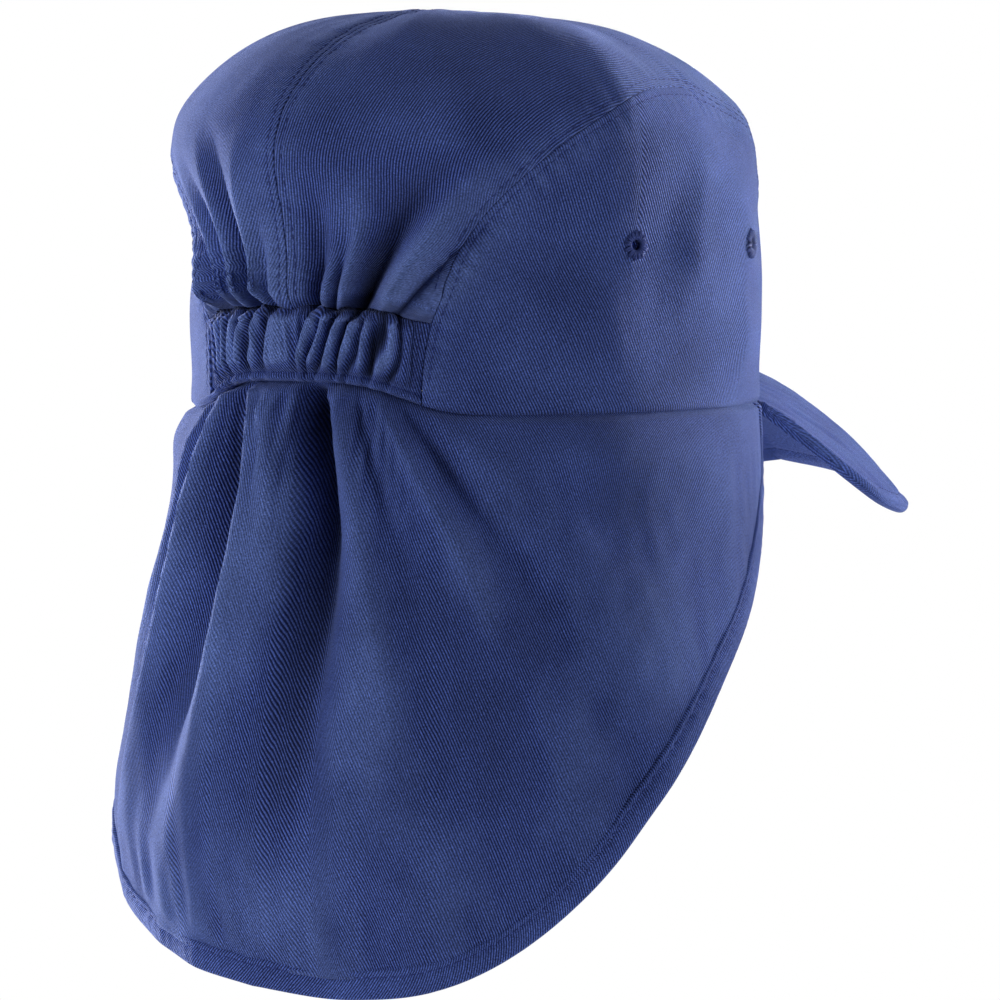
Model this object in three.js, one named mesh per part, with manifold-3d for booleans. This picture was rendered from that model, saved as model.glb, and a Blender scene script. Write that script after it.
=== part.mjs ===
// Legionnaire cap: a soft cloth crown, an elastic casing at the nape, a peak and a long neck flap.
// Millimetres, +Z up. The peak points to -Y and the wearer's right is -X.
// The origin is the centre of the head opening.
import * as THREE from "three";
import { mergeVertices } from "three/addons/utils/BufferGeometryUtils.js";
import Module from "manifold-3d";

const wasm = await Module();
wasm.setup();

// Crown sizes
const HEAD_LENGTH = 198;
const HEAD_WIDTH = 160;
const CROWN_HEIGHT = 117;
const CROWN_SQUARENESS = 4.3;
const CROWN_BULGE = 3;
const NAPE_BULGE = 2.5;
const TOP_FALL = 8;
const FRONT_LOWERING = 9;
const FRONT_LOWERED_FROM = -0.35;
const FRONT_RIM_RISE = 13;
const PANEL_CLOTH = 1.5;
const SEAM_GAP = 0.3;
const SEAM_SWELL = 0.9;
const SEAM_SWELL_WIDTH = 3.5;
const BULGE_AT = 0.74;
const BULGE_SPREAD = 0.2;
const NAPE_BULGE_DEG = 75;
const TOP_STARTS = 0.75;
const TOP_ENDS = 0.98;

// Side panels: each is bounded above by an arched seam
const ARCH_BELOW_TOP = 17.5;
const ARCH_HEIGHT = CROWN_HEIGHT - ARCH_BELOW_TOP;
const ARCH_MIDDLE_DEG = 93;
const ARCH_HALF_DEG = 62;

// Elastic casing at the nape
const CASING_HEIGHT = 25.5;
const CASING_THICKNESS = 2.6;
const CASING_DRAW_IN = 8;
const DRAW_IN_DEG = 52;
const DRAW_IN_FULL_TO = 0.34;
const DRAW_IN_GONE_AT = 0.68;
const CASING_RISE = 9.5;
const CASING_RISE_DEG = 30;
const CASING_GATHERS = 11;
const GATHER_DEPTH = 1.2;
const CASING_TAB_DEG = 10;

// Folds that the elastic makes in the crown above it, and the puff of cloth over its upper edge
const CROWN_FOLD_DEPTH = 3.4;
const CROWN_FOLD_SPREAD = 2.6;
const CROWN_FOLD_START = 6;
const CROWN_PUFF = 2.2;
const CROWN_PUFF_DEG = 38;
const CROWN_PUFF_HEIGHT = 42;

// Eyelets
const EYELET_OUTER = 9;
const EYELET_HOLE = 3.2;
const EYELET_BARREL = 5;
const EYELET_FLANGE = 0.8;
const EYELET_HEIGHT = 50;
const EYELET_ANGLES_DEG = [75, 108];

// Peak
const PEAK_REACH = 78;
const PEAK_HALF_WIDTH = 79;
const PEAK_FALL = 36;
const PEAK_DOME = 9.5;
const PEAK_THICKNESS = 3.4;
const PEAK_EDGE_THICKNESS = 1.9;
const PEAK_ROOT_DEG = 133;

// Neck flap and its edge binding
const FLAP_DROP = 164;
const FLAP_TO_PEAK_DEG = 3;
const FLAP_FRONT_DEG = PEAK_ROOT_DEG - FLAP_TO_PEAK_DEG;
const FLAP_FLARE = 28;
const FLAP_SWING = 8;
const FLAP_CLOTH = 1.3;
const FLAP_TUCK = 4;
const FLAP_EMERGING = 16;
const CASING_MARGIN_DEG = 8;
const FLAP_FOLD_DEPTH = 7;
const FOLD_AT_RIM = 0.25;
const FOLD_AT_HEM = 0.25;
const BINDING_WIDTH = 8.5;
const BINDING_THICKNESS = 2.8;
const CLEARANCE = 0.3;

// Mesh fineness
const PANEL_COLUMNS = 32;
const SIDE_ROWS = 7;
const CASING_COLUMNS = 70;
const CASING_ROWS = 3;
const PEAK_COLUMNS = 32;
const FLAP_COLUMNS = 64;
const RING_SIDES = 10;

const COLOUR = { cloth: 0x303d72, casing: 0x2c386b, binding: 0x35427a, thread: 0x1c2550 };
const ROUGHNESS = 0.9;

// Folds of the crown above the casing. low and high are angles round the head at the casing and at
// the fold's upper end, top is a share of the crown's height and depth a share of the fold depth.
const CROWN_FOLDS = [
  { low: -27, high: -52, top: 0.72, width: 4.0, depth: 0.7 },
  { low: -20, high: -40, top: 0.7, width: 3.2, depth: -0.8 },
  { low: -14, high: -32, top: 0.78, width: 3.4, depth: 1.0 },
  { low: -7.5, high: -16, top: 0.68, width: 2.8, depth: -0.8 },
  { low: -3.5, high: -6, top: 0.6, width: 2.4, depth: 0.5 },
  { low: 4.5, high: 7, top: 0.58, width: 2.4, depth: 0.5 },
  { low: 8.5, high: 17, top: 0.62, width: 2.6, depth: -0.7 },
  { low: 13, high: 28, top: 0.68, width: 3.0, depth: 0.8 },
  { low: 18, high: 38, top: 0.7, width: 3.4, depth: -1.0 },
  { low: 24, high: 48, top: 0.74, width: 3.6, depth: 1.0 },
];

// Folds of the flap below the casing. top and hem are angles, topWidth and hemWidth their half widths,
// deepest the share of the drop where the fold is fullest, and depth a share of the fold depth.
const FLAP_FOLDS = [
  { top: -27, hem: -48, topWidth: 4, hemWidth: 12, deepest: 0.35, depth: -0.5 },
  { top: -17, hem: -38, topWidth: 4, hemWidth: 13, deepest: 0.3, depth: 0.5 },
  { top: -11, hem: -24, topWidth: 3, hemWidth: 8, deepest: 0.3, depth: -0.4 },
  { top: -5, hem: -16, topWidth: 4, hemWidth: 12, deepest: 0.4, depth: 0.8 },
  { top: 1, hem: -2, topWidth: 2.4, hemWidth: 7, deepest: 0.12, depth: 0.4 },
  { top: 11, hem: 12, topWidth: 5, hemWidth: 17, deepest: 0.35, depth: -1.0 },
  { top: 20, hem: 34, topWidth: 3, hemWidth: 10, deepest: 0.2, depth: 0.5 },
  { top: 27, hem: 52, topWidth: 3.6, hemWidth: 12, deepest: 0.25, depth: -0.3 },
];

// How far the flap stands out, as a share of its flare, at each share of its drop.
const FLARE_ROWS = [
  { depth: 0, out: 0 },
  { depth: 0.06, out: 0.16 },
  { depth: 0.2, out: 0.3 },
  { depth: 0.42, out: 0.62 },
  { depth: 0.62, out: 0.9 },
  { depth: 0.75, out: 0.98 },
  { depth: 0.87, out: 0.87 },
  { depth: 1, out: 0.68 },
];

// The flap's lower edge: at each share of the way round, its angle and its drop as shares. The swing
// makes it hang a little lower on the wearer's right.
const HEM_ROWS = [
  { way: 0, angle: 0, drop: 1 },
  { way: 0.15, angle: 0.15, drop: 0.995 },
  { way: 0.3, angle: 0.29, drop: 0.955 },
  { way: 0.43, angle: 0.42, drop: 0.845 },
  { way: 0.56, angle: 0.55, drop: 0.67 },
  { way: 0.68, angle: 0.68, drop: 0.5 },
  { way: 0.8, angle: 0.82, drop: 0.345 },
  { way: 0.9, angle: 0.93, drop: 0.205 },
  { way: 0.96, angle: 0.985, drop: 0.105 },
  { way: 1, angle: 1, drop: 0.008 },
];

// The peak's outline: shares of its half width, of its reach and of its fall.
const PEAK_ROWS = [
  { way: 0, side: 0, out: 1, fall: 0.62 },
  { way: 0.25, side: 0.34, out: 0.95, fall: 0.73 },
  { way: 0.5, side: 0.64, out: 0.8, fall: 0.94 },
  { way: 0.7, side: 0.85, out: 0.54, fall: 1 },
  { way: 0.85, side: 0.96, out: 0.2, fall: 0.88 },
  { way: 0.93, side: 0.97, out: -0.06, fall: 0.64 },
  { way: 0.975, side: 0.9, out: -0.25, fall: 0.34 },
  { way: 1, side: 0.79, out: -0.4, fall: 0.04 },
];

// How finely each sheet is divided from one edge to the other
const PANEL_SHARES = [0, 0.07, 0.2, 0.36, 0.54, 0.72, 0.88, 0.96, 1];
const FLAP_SHARES = [0, 0.05, 0.13, 0.24, 0.37, 0.51, 0.65, 0.78, 0.89, 0.95, 1];
const PEAK_SHARES = [0, 0.15, 0.34, 0.55, 0.74, 0.88, 0.96, 1];

const HALF_LENGTH = HEAD_LENGTH / 2;
const HALF_WIDTH = HEAD_WIDTH / 2;
const MM_PER_DEG = (Math.PI / 180) * ((HALF_LENGTH + HALF_WIDTH) / 2);
const FOOT_TURN = 0.012;
const STEP = 0.01;

const radians = THREE.MathUtils.degToRad;
const { clamp, lerp } = THREE.MathUtils;
const easeBetween = (x, from, to) => THREE.MathUtils.smoothstep(x, from, to);
const hump = (x, width, power = 2) => Math.exp(-(Math.abs(x / width) ** power));

// The value of a column of a table at a place between its rows, on a smooth curve.
function tableValue(rows, key, column, at) {
  const last = rows.length - 1;
  if (at <= rows[0][key]) return rows[0][column];
  if (at >= rows[last][key]) return rows[last][column];
  const i = rows.findIndex((row) => row[key] > at) - 1;
  const slope = (j) => {
    const before = rows[Math.max(j - 1, 0)];
    const after = rows[Math.min(j + 1, last)];
    return (after[column] - before[column]) / (after[key] - before[key]);
  };
  const span = rows[i + 1][key] - rows[i][key];
  const t = (at - rows[i][key]) / span;
  const ease = t * t * (3 - 2 * t);
  const lift = t * (1 - t) * span;
  const ends = lerp(rows[i][column], rows[i + 1][column], ease);
  return ends + lift * ((1 - t) * slope(i) - t * slope(i + 1));
}

// Distance outside the arched seam, as a share of its height; negative on the side panel.
function archDistance(angleDeg, z) {
  const across = (Math.abs(angleDeg) - ARCH_MIDDLE_DEG) / ARCH_HALF_DEG;
  return Math.hypot(across, z / ARCH_HEIGHT) - 1;
}

// Outward swelling of the crown where the casing gathers it.
function crownFolds(angleDeg, z) {
  const above = z - CASING_HEIGHT;
  let sum = 0;
  for (const fold of CROWN_FOLDS) {
    const height = fold.top * CROWN_HEIGHT - CASING_HEIGHT;
    const way = clamp(above / height, 0, 1);
    const middle = lerp(fold.low, fold.high, way);
    const fade = (1 - way) * easeBetween(above, -CROWN_FOLD_START, CROWN_FOLD_START / 2);
    const width = fold.width * lerp(1, CROWN_FOLD_SPREAD, way);
    sum += CROWN_FOLD_DEPTH * fold.depth * fade * hump(angleDeg - middle, width);
  }
  const rise = easeBetween(above, -CROWN_FOLD_START / 2, CROWN_FOLD_START);
  const puff = rise * (1 - easeBetween(above, CROWN_FOLD_START, CROWN_FOLD_START + CROWN_PUFF_HEIGHT));
  return sum + CROWN_PUFF * puff * hump(angleDeg, CROWN_PUFF_DEG, 4);
}

// A point on the outside of the crown, on the ray from the origin along a direction.
function crownPoint(direction) {
  const d = direction.clone().normalize();
  const flat = (d.x / HALF_WIDTH) ** 2 + (d.y / HALF_LENGTH) ** 2;
  const size = flat ** (CROWN_SQUARENESS / 2) + Math.abs(d.z / CROWN_HEIGHT) ** CROWN_SQUARENESS;
  const p = d.multiplyScalar(size ** (-1 / CROWN_SQUARENESS));
  const angle = THREE.MathUtils.radToDeg(Math.atan2(-p.x / HALF_WIDTH, p.y / HALF_LENGTH));
  const height = p.z / CROWN_HEIGHT;
  const wall = 1 - easeBetween(p.z, 0, CROWN_HEIGHT / 2);

  const outward = new THREE.Vector3(p.x / HALF_WIDTH ** 2, p.y / HALF_LENGTH ** 2, 0);
  outward.normalize();
  const steep = 1 - easeBetween(height, TOP_STARTS, TOP_ENDS);
  const slack = easeBetween(height, DRAW_IN_FULL_TO, DRAW_IN_GONE_AT);
  const drawn = CASING_DRAW_IN * hump(angle, DRAW_IN_DEG, 3) * (1 - slack);
  const arch = archDistance(angle, p.z) * ARCH_HEIGHT;
  const seam = Math.max(hump(arch, SEAM_SWELL_WIDTH), hump(p.x, SEAM_SWELL_WIDTH));
  const swell = SEAM_SWELL * seam * easeBetween(p.z, CASING_HEIGHT, CASING_HEIGHT * 1.5);
  const fullest = CROWN_BULGE + NAPE_BULGE * hump(angle, NAPE_BULGE_DEG, 4);
  const bulge = fullest * hump(height - BULGE_AT, BULGE_SPREAD);
  const move = (crownFolds(angle, p.z) + swell) * steep - drawn + bulge;
  const fall = TOP_FALL * ((p.x / HALF_WIDTH) ** 2 + (p.y / HALF_LENGTH) ** 2);
  const forward = easeBetween(-p.y / HALF_LENGTH, FRONT_LOWERED_FROM, 1);
  const lowered = height ** 2 * (fall + FRONT_LOWERING * forward);

  const toFront = clamp((180 - Math.abs(angle)) / (180 - PEAK_ROOT_DEG), 0, 1);
  const atBack = CASING_RISE * hump(angle, CASING_RISE_DEG, 4);
  const rimRise = atBack + FRONT_RIM_RISE * (1 - toFront ** 2.5);
  p.addScaledVector(outward, move);
  p.z += rimRise * wall - lowered + swell * (1 - steep);
  return p;
}

// The crown's outward normal along a direction.
function crownNormal(direction) {
  const d = direction.clone().normalize();
  const side = new THREE.Vector3(d.y, -d.x, 0);
  if (side.lengthSq() < 1e-6) side.set(1, 0, 0);
  side.normalize();
  const up = side.clone().cross(d).normalize();
  const along = (axis) => {
    const ahead = crownPoint(d.clone().addScaledVector(axis, STEP));
    return ahead.sub(crownPoint(d.clone().addScaledVector(axis, -STEP)));
  };
  const normal = along(side).cross(along(up)).normalize();
  return normal.dot(d) < 0 ? normal.negate() : normal;
}

// Where a height on the bare crown lies at an angle round the head.
function bareCrown(angleDeg, z) {
  const share = (1 - (z / CROWN_HEIGHT) ** CROWN_SQUARENESS) ** (1 / CROWN_SQUARENESS);
  const turn = radians(angleDeg);
  const x = -HALF_WIDTH * share * Math.sin(turn);
  return new THREE.Vector3(x, HALF_LENGTH * share * Math.cos(turn), z);
}

// A point of the arched seam, moved outside it by a distance. side is 1 on the wearer's right.
function archPoint(turn, side, outside) {
  const angle = ARCH_MIDDLE_DEG - (ARCH_HALF_DEG + outside / MM_PER_DEG) * Math.cos(turn);
  return bareCrown(side * angle, (ARCH_HEIGHT + outside) * Math.sin(turn));
}

// A closed solid between two matching grids of points.
function solidBetween(outer, inner) {
  const rows = outer.length;
  const columns = outer[0].length;
  const points = [...outer.flat(), ...inner.flat()];
  const index = [];
  const at = (layer, i, j) => layer * rows * columns + i * columns + j;
  const apart = (a, b) => points[a].distanceToSquared(points[b]);
  const quad = (a, b, c, d) => {
    if (apart(a, c) <= apart(b, d)) index.push(a, b, c, a, c, d);
    else index.push(b, c, d, b, d, a);
  };
  for (let i = 0; i < rows - 1; i += 1) {
    for (let j = 0; j < columns - 1; j += 1) {
      quad(at(0, i, j), at(0, i, j + 1), at(0, i + 1, j + 1), at(0, i + 1, j));
      quad(at(1, i, j), at(1, i + 1, j), at(1, i + 1, j + 1), at(1, i, j + 1));
    }
  }
  for (let j = 0; j < columns - 1; j += 1) {
    quad(at(0, 0, j), at(1, 0, j), at(1, 0, j + 1), at(0, 0, j + 1));
    quad(at(0, rows - 1, j), at(0, rows - 1, j + 1), at(1, rows - 1, j + 1), at(1, rows - 1, j));
  }
  for (let i = 0; i < rows - 1; i += 1) {
    quad(at(0, i, 0), at(0, i + 1, 0), at(1, i + 1, 0), at(1, i, 0));
    const j = columns - 1;
    quad(at(0, i, j), at(1, i, j), at(1, i + 1, j), at(0, i + 1, j));
  }
  return facingOut(points, index);
}

// A closed tube through matching rings of points, with flat ends.
function solidThrough(rings) {
  const sides = rings[0].length;
  const index = [];
  for (let i = 0; i < rings.length - 1; i += 1) {
    for (let j = 0; j < sides; j += 1) {
      const k = (j + 1) % sides;
      const a = i * sides + j;
      const b = i * sides + k;
      index.push(a, b, b + sides, a, b + sides, a + sides);
    }
  }
  const outline = rings[0].flatShape;
  const caps = THREE.ShapeUtils.triangulateShape(outline, []);
  const end = (rings.length - 1) * sides;
  for (const [a, b, c] of caps) {
    index.push(c, b, a, a + end, b + end, c + end);
  }
  return facingOut(rings.flat(), index);
}

// A geometry whose faces point out, from points and triangles.
function facingOut(points, index) {
  let volume = 0;
  for (let i = 0; i < index.length; i += 3) {
    const [a, b, c] = [points[index[i]], points[index[i + 1]], points[index[i + 2]]];
    volume += a.dot(b.clone().cross(c));
  }
  if (volume < 0) index.reverse();
  const geometry = new THREE.BufferGeometry().setFromPoints(points);
  geometry.setIndex(index);
  geometry.computeVertexNormals();
  return geometry;
}

// Manifold solids for the cut holes
function toSolid(geometry, matrix) {
  const bare = new THREE.BufferGeometry();
  bare.setAttribute("position", geometry.getAttribute("position").clone());
  bare.setIndex(geometry.index);
  if (matrix) bare.applyMatrix4(matrix);
  const merged = mergeVertices(bare, 1e-4);
  const triVerts = new Uint32Array(merged.index.array);
  const vertProperties = new Float32Array(merged.getAttribute("position").array);
  return new wasm.Manifold(new wasm.Mesh({ numProp: 3, vertProperties, triVerts }));
}

function fromSolid(solid) {
  const mesh = solid.getMesh();
  const geometry = new THREE.BufferGeometry();
  geometry.setAttribute("position", new THREE.BufferAttribute(mesh.vertProperties, 3));
  geometry.setIndex(new THREE.BufferAttribute(mesh.triVerts, 1));
  geometry.computeVertexNormals();
  return geometry;
}

const group = new THREE.Group();

function addPiece(name, geometry, color) {
  const material = new THREE.MeshStandardMaterial({ color, roughness: ROUGHNESS, metalness: 0 });
  const mesh = new THREE.Mesh(geometry, material);
  mesh.name = name;
  group.add(mesh);
  return mesh;
}

// The wall of a panel, from rows of directions on the crown.
function crownSheet(directions) {
  const layer = (lift) =>
    directions.map((row) => row.map((d) => crownPoint(d).addScaledVector(crownNormal(d), lift)));
  return solidBetween(layer(0), layer(-PANEL_CLOTH));
}

// Centre panel of one side: from the casing over the top to the front rim, between the centre seam
// and the arched seam.
const CASING_TURN = Math.asin((CASING_HEIGHT + SEAM_GAP / 2) / ARCH_HEIGHT);

function centreDirection(way, side) {
  const low = bareCrown(0, CASING_HEIGHT + SEAM_GAP / 2);
  const start = Math.atan2(low.z, low.y);
  const turn = lerp(start, Math.PI, way);
  const size = crownPoint(new THREE.Vector3(0, Math.cos(turn), Math.sin(turn))).length();
  return new THREE.Vector3((-side * SEAM_GAP) / 2 / size, Math.cos(turn), Math.sin(turn));
}

function centrePanel(side) {
  const rows = [];
  for (let i = 0; i <= PANEL_COLUMNS; i += 1) {
    const way = i / PANEL_COLUMNS;
    const turn = lerp(CASING_TURN, Math.PI - FOOT_TURN, way);
    const arch = archPoint(turn, side, SEAM_GAP / 2).normalize();
    const centre = centreDirection(way, side);
    rows.push(PANEL_SHARES.map((share) => centre.clone().lerp(arch, share)));
  }
  return crownSheet(rows);
}

// The holes are cut after the wall is made; each eyelet stands in its own hole.
function eyeletPlace(angleDeg, side) {
  const direction = bareCrown(side * angleDeg, EYELET_HEIGHT);
  const normal = crownNormal(direction);
  const turn = new THREE.Quaternion().setFromUnitVectors(new THREE.Vector3(0, 1, 0), normal);
  return { point: crownPoint(direction), turn };
}

function sidePanel(side) {
  const rows = [];
  for (let i = 0; i <= PANEL_COLUMNS; i += 1) {
    const turn = lerp(FOOT_TURN, Math.PI - FOOT_TURN, i / PANEL_COLUMNS);
    const angle = ARCH_MIDDLE_DEG - (ARCH_HALF_DEG - SEAM_GAP / 2 / MM_PER_DEG) * Math.cos(turn);
    const top = (ARCH_HEIGHT - SEAM_GAP / 2) * Math.sin(turn);
    const row = [];
    for (let j = 0; j <= SIDE_ROWS; j += 1) {
      const share = Math.sin(((j / SIDE_ROWS) * Math.PI) / 2);
      row.push(bareCrown(side * angle, share * top));
    }
    rows.push(row);
  }
  let solid = toSolid(crownSheet(rows));
  for (const angle of EYELET_ANGLES_DEG) {
    const { point, turn } = eyeletPlace(angle, side);
    const radius = EYELET_BARREL / 2 + CLEARANCE;
    const drill = new THREE.CylinderGeometry(radius, radius, PANEL_CLOTH * 8, RING_SIDES);
    const place = new THREE.Matrix4().compose(point, turn, new THREE.Vector3(1, 1, 1));
    solid = solid.subtract(toSolid(drill, place));
  }
  return fromSolid(solid);
}

// A worked eyelet: a flat ring outside the cloth and a barrel through the hole.
function eyelet() {
  const sag = EYELET_OUTER ** 2 / 4 / HEAD_WIDTH;
  const low = CLEARANCE + sag;
  const top = low + EYELET_FLANGE;
  const profile = [
    [EYELET_HOLE / 2, -PANEL_CLOTH],
    [EYELET_BARREL / 2, -PANEL_CLOTH],
    [EYELET_BARREL / 2, low],
    [EYELET_OUTER / 2, low],
    [EYELET_OUTER / 2 - EYELET_FLANGE / 2, top],
    [EYELET_HOLE / 2 + EYELET_FLANGE / 2, top],
    [EYELET_HOLE / 2, low],
    [EYELET_HOLE / 2, -PANEL_CLOTH],
  ].map(([x, y]) => new THREE.Vector2(x, y));
  return new THREE.LatheGeometry(profile, RING_SIDES);
}

// The elastic in its casing, gathered between the two side panels.
function casingGathers(across, up) {
  const drift = 0.5 * Math.sin(7 * across) + 0.35 * Math.sin(17 * across + 2 * up);
  const wave = Math.sin(Math.PI * CASING_GATHERS * across + drift + 1.1 * up);
  const ends = 1 - Math.abs(across) ** 8;
  const tab = 1 - hump(across * (ARCH_MIDDLE_DEG - ARCH_HALF_DEG), CASING_TAB_DEG / 2, 4);
  return GATHER_DEPTH * wave * ends * tab;
}

function elasticCasing() {
  const rows = [];
  const across = [];
  for (let j = 0; j <= CASING_COLUMNS; j += 1) {
    across.push(-1 + (2 * j) / CASING_COLUMNS);
  }
  for (let i = 0; i <= CASING_ROWS; i += 1) {
    const z = (i / CASING_ROWS) * (CASING_HEIGHT - SEAM_GAP / 2);
    const turn = Math.asin(z / ARCH_HEIGHT);
    const half = ARCH_MIDDLE_DEG - (ARCH_HALF_DEG + SEAM_GAP / 2 / MM_PER_DEG) * Math.cos(turn);
    rows.push(across.map((share) => bareCrown(share * half, z)));
  }
  const layer = (lift) =>
    rows.map((row, i) =>
      row.map((d, j) => {
        const level = crownNormal(d).setZ(0).normalize();
        return crownPoint(d).addScaledVector(level, lift(across[j], i / CASING_ROWS));
      }),
    );
  return solidBetween(layer(casingGathers), layer(() => -CASING_THICKNESS));
}

// Shares of the way round for the flap's columns, closer together towards its front edges.
const FLAP_WAYS = Array.from({ length: FLAP_COLUMNS + 1 }, (_, j) => {
  const even = -1 + (2 * j) / FLAP_COLUMNS;
  return even * (1.4 - 0.4 * even ** 2);
});

// Where the flap's lower edge is at a share of the way round, from -1 on the wearer's left to 1.
function hemPlace(way) {
  const share = Math.abs(way);
  const angle = Math.sign(way) * FLAP_FRONT_DEG * tableValue(HEM_ROWS, "way", "angle", share);
  const swing = FLAP_SWING * Math.sin(radians(angle));
  return { angle, z: -(FLAP_DROP + swing) * tableValue(HEM_ROWS, "way", "drop", share) };
}

// The place a distance inside the lower edge, measured square to it.
function insideHem(way, inward) {
  const here = hemPlace(way);
  const before = hemPlace(clamp(way - STEP, -1, 1));
  const after = hemPlace(clamp(way + STEP, -1, 1));
  const run = new THREE.Vector2((after.angle - before.angle) * MM_PER_DEG, after.z - before.z);
  run.normalize();
  const z = Math.min(here.z + run.x * inward, -CLEARANCE);
  return { angle: here.angle - (run.y * inward) / MM_PER_DEG, z };
}

function flapFolds(angleDeg, depth) {
  let sum = 0;
  for (const fold of FLAP_FOLDS) {
    const middle = lerp(fold.top, fold.hem, depth);
    const width = lerp(fold.topWidth, fold.hemWidth, depth ** 0.7);
    const grow = lerp(FOLD_AT_RIM, 1, easeBetween(depth, 0, fold.deepest));
    const fade = lerp(1, FOLD_AT_HEM, easeBetween(depth, fold.deepest, 1));
    sum += fold.depth * grow * fade * hump(angleDeg - middle, width);
  }
  return FLAP_FOLD_DEPTH * sum * easeBetween(depth, 0.01, 0.06);
}

// A point on the outside of the flap, from its angle and its height below the rim.
function flapPoint(angleDeg, z) {
  const rim = crownPoint(bareCrown(angleDeg, 0));
  const turn = radians(angleDeg);
  const outward = new THREE.Vector3(-Math.sin(turn), Math.cos(turn), 0);
  const depth = clamp(-z / FLAP_DROP, 0, 1.1);
  const back = Math.cos((clamp(Math.abs(angleDeg) / FLAP_FRONT_DEG, 0, 1) * Math.PI) / 2) ** 0.8;
  const flare = FLAP_FLARE * back * tableValue(FLARE_ROWS, "depth", "out", depth);
  const casing = hump(angleDeg, ARCH_MIDDLE_DEG - ARCH_HALF_DEG + CASING_MARGIN_DEG, 6);
  const inside = lerp(PANEL_CLOTH, CASING_THICKNESS, casing) + 2 * CLEARANCE;
  const tucked = inside * (1 - easeBetween(-z, 0, FLAP_EMERGING));
  rim.addScaledVector(outward, flare - tucked + flapFolds(angleDeg, depth));
  rim.z = z + rim.z * (1 - depth);
  return rim;
}

function flapNormal(angleDeg, z) {
  const across = flapPoint(angleDeg + 0.5, z).sub(flapPoint(angleDeg - 0.5, z));
  const down = flapPoint(angleDeg, z - 0.5).sub(flapPoint(angleDeg, z + 0.5));
  return down.cross(across).normalize();
}

function neckFlap() {
  const margin = BINDING_WIDTH + SEAM_GAP;
  const topDeg = FLAP_FRONT_DEG - margin / MM_PER_DEG;
  const place = (way, share) => {
    const low = insideHem(way, margin);
    return { angle: lerp(topDeg * way, low.angle, share), z: share * low.z };
  };
  const places = FLAP_SHARES.map((share) => FLAP_WAYS.map((way) => place(way, share)));
  places.unshift(FLAP_WAYS.map((way) => ({ angle: topDeg * way, z: FLAP_TUCK })));
  const layer = (offset) =>
    places.map((row) =>
      row.map(({ angle, z }) =>
        flapPoint(angle, z).addScaledVector(flapNormal(angle, z), offset),
      ),
    );
  return solidBetween(layer(0), layer(-FLAP_CLOTH));
}

// Tape that binds the flap's edge. Its section is drawn inward from the edge and out from the
// middle of the cloth.
function flapBinding() {
  const half = BINDING_THICKNESS / 2;
  const section = [
    [BINDING_WIDTH, half],
    [half / 2, half],
    [0, half / 2],
    [0, -half / 2],
    [half / 2, -half],
    [BINDING_WIDTH, -half],
  ];
  const rings = FLAP_WAYS.map((way) =>
    section.map(([inward, out]) => {
      const { angle, z } = insideHem(way, inward);
      return flapPoint(angle, z).addScaledVector(flapNormal(angle, z), out - FLAP_CLOTH / 2);
    }),
  );
  rings[0].flatShape = section.map(([x, y]) => new THREE.Vector2(x, y));
  return solidThrough(rings);
}

// A point on the top of the peak: way is -1 on the wearer's left and 1 on the right, out is 0 at
// the crown and 1 at the edge.
function peakPoint(way, out) {
  const rootAngle = 180 - (180 - PEAK_ROOT_DEG) * way;
  const direction = bareCrown(rootAngle, 0);
  const root = crownPoint(direction).addScaledVector(crownNormal(direction), -PANEL_CLOTH);
  const share = Math.abs(way);
  const value = (column) => tableValue(PEAK_ROWS, "way", column, share);
  const x = -Math.sign(way) * PEAK_HALF_WIDTH * value("side");
  const y = -HALF_LENGTH - PEAK_REACH * value("out");
  const dome = PEAK_DOME * Math.sin(Math.PI * out ** 1.5) * (1 - share ** 4);
  const z = lerp(root.z - CLEARANCE, -PEAK_FALL * value("fall"), out) + dome;
  return new THREE.Vector3(lerp(root.x, x, out), lerp(root.y, y, out), z);
}

function peak() {
  const top = [];
  const under = [];
  for (let i = 0; i <= PEAK_COLUMNS; i += 1) {
    const way = -1 + (2 * i) / PEAK_COLUMNS;
    const points = PEAK_SHARES.map((out) => peakPoint(way, out));
    top.push(points);
    under.push(
      points.map((p, j) => {
        const thin = easeBetween(PEAK_SHARES[j], PEAK_SHARES.at(-3), 1);
        return new THREE.Vector3(p.x, p.y, p.z - lerp(PEAK_THICKNESS, PEAK_EDGE_THICKNESS, thin));
      }),
    );
  }
  return solidBetween(top, under);
}

// The assembly
const SIDES = { left: -1, right: 1 };
for (const [word, side] of Object.entries(SIDES)) {
  addPiece(`centre_panel_${word}`, centrePanel(side), COLOUR.cloth);
  addPiece(`side_panel_${word}`, sidePanel(side), COLOUR.cloth);
  for (const [i, angle] of EYELET_ANGLES_DEG.entries()) {
    const { point, turn } = eyeletPlace(angle, side);
    const mesh = addPiece(`eyelet_${word}_${["back", "front"][i]}`, eyelet(), COLOUR.thread);
    mesh.position.copy(point);
    mesh.quaternion.copy(turn);
  }
}
addPiece("elastic_casing", elasticCasing(), COLOUR.casing);
addPiece("neck_flap", neckFlap(), COLOUR.cloth);
addPiece("flap_binding", flapBinding(), COLOUR.binding);
addPiece("peak", peak(), COLOUR.cloth);

export default group;
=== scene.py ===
"""Looks of a legionnaire cap: a soft twill crown, a gathered casing, a peak and a long neck flap.

Shapes are worked out in millimetres in the part's own frame, with +Z up and the peak towards -Y, and
become metres when a mesh is made. The wearer's right is -X. Angles round the head start at the nape
and grow towards the wearer's right.
"""

import logging
import math
from dataclasses import dataclass, field
from enum import Enum
from typing import Any, Sequence

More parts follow.
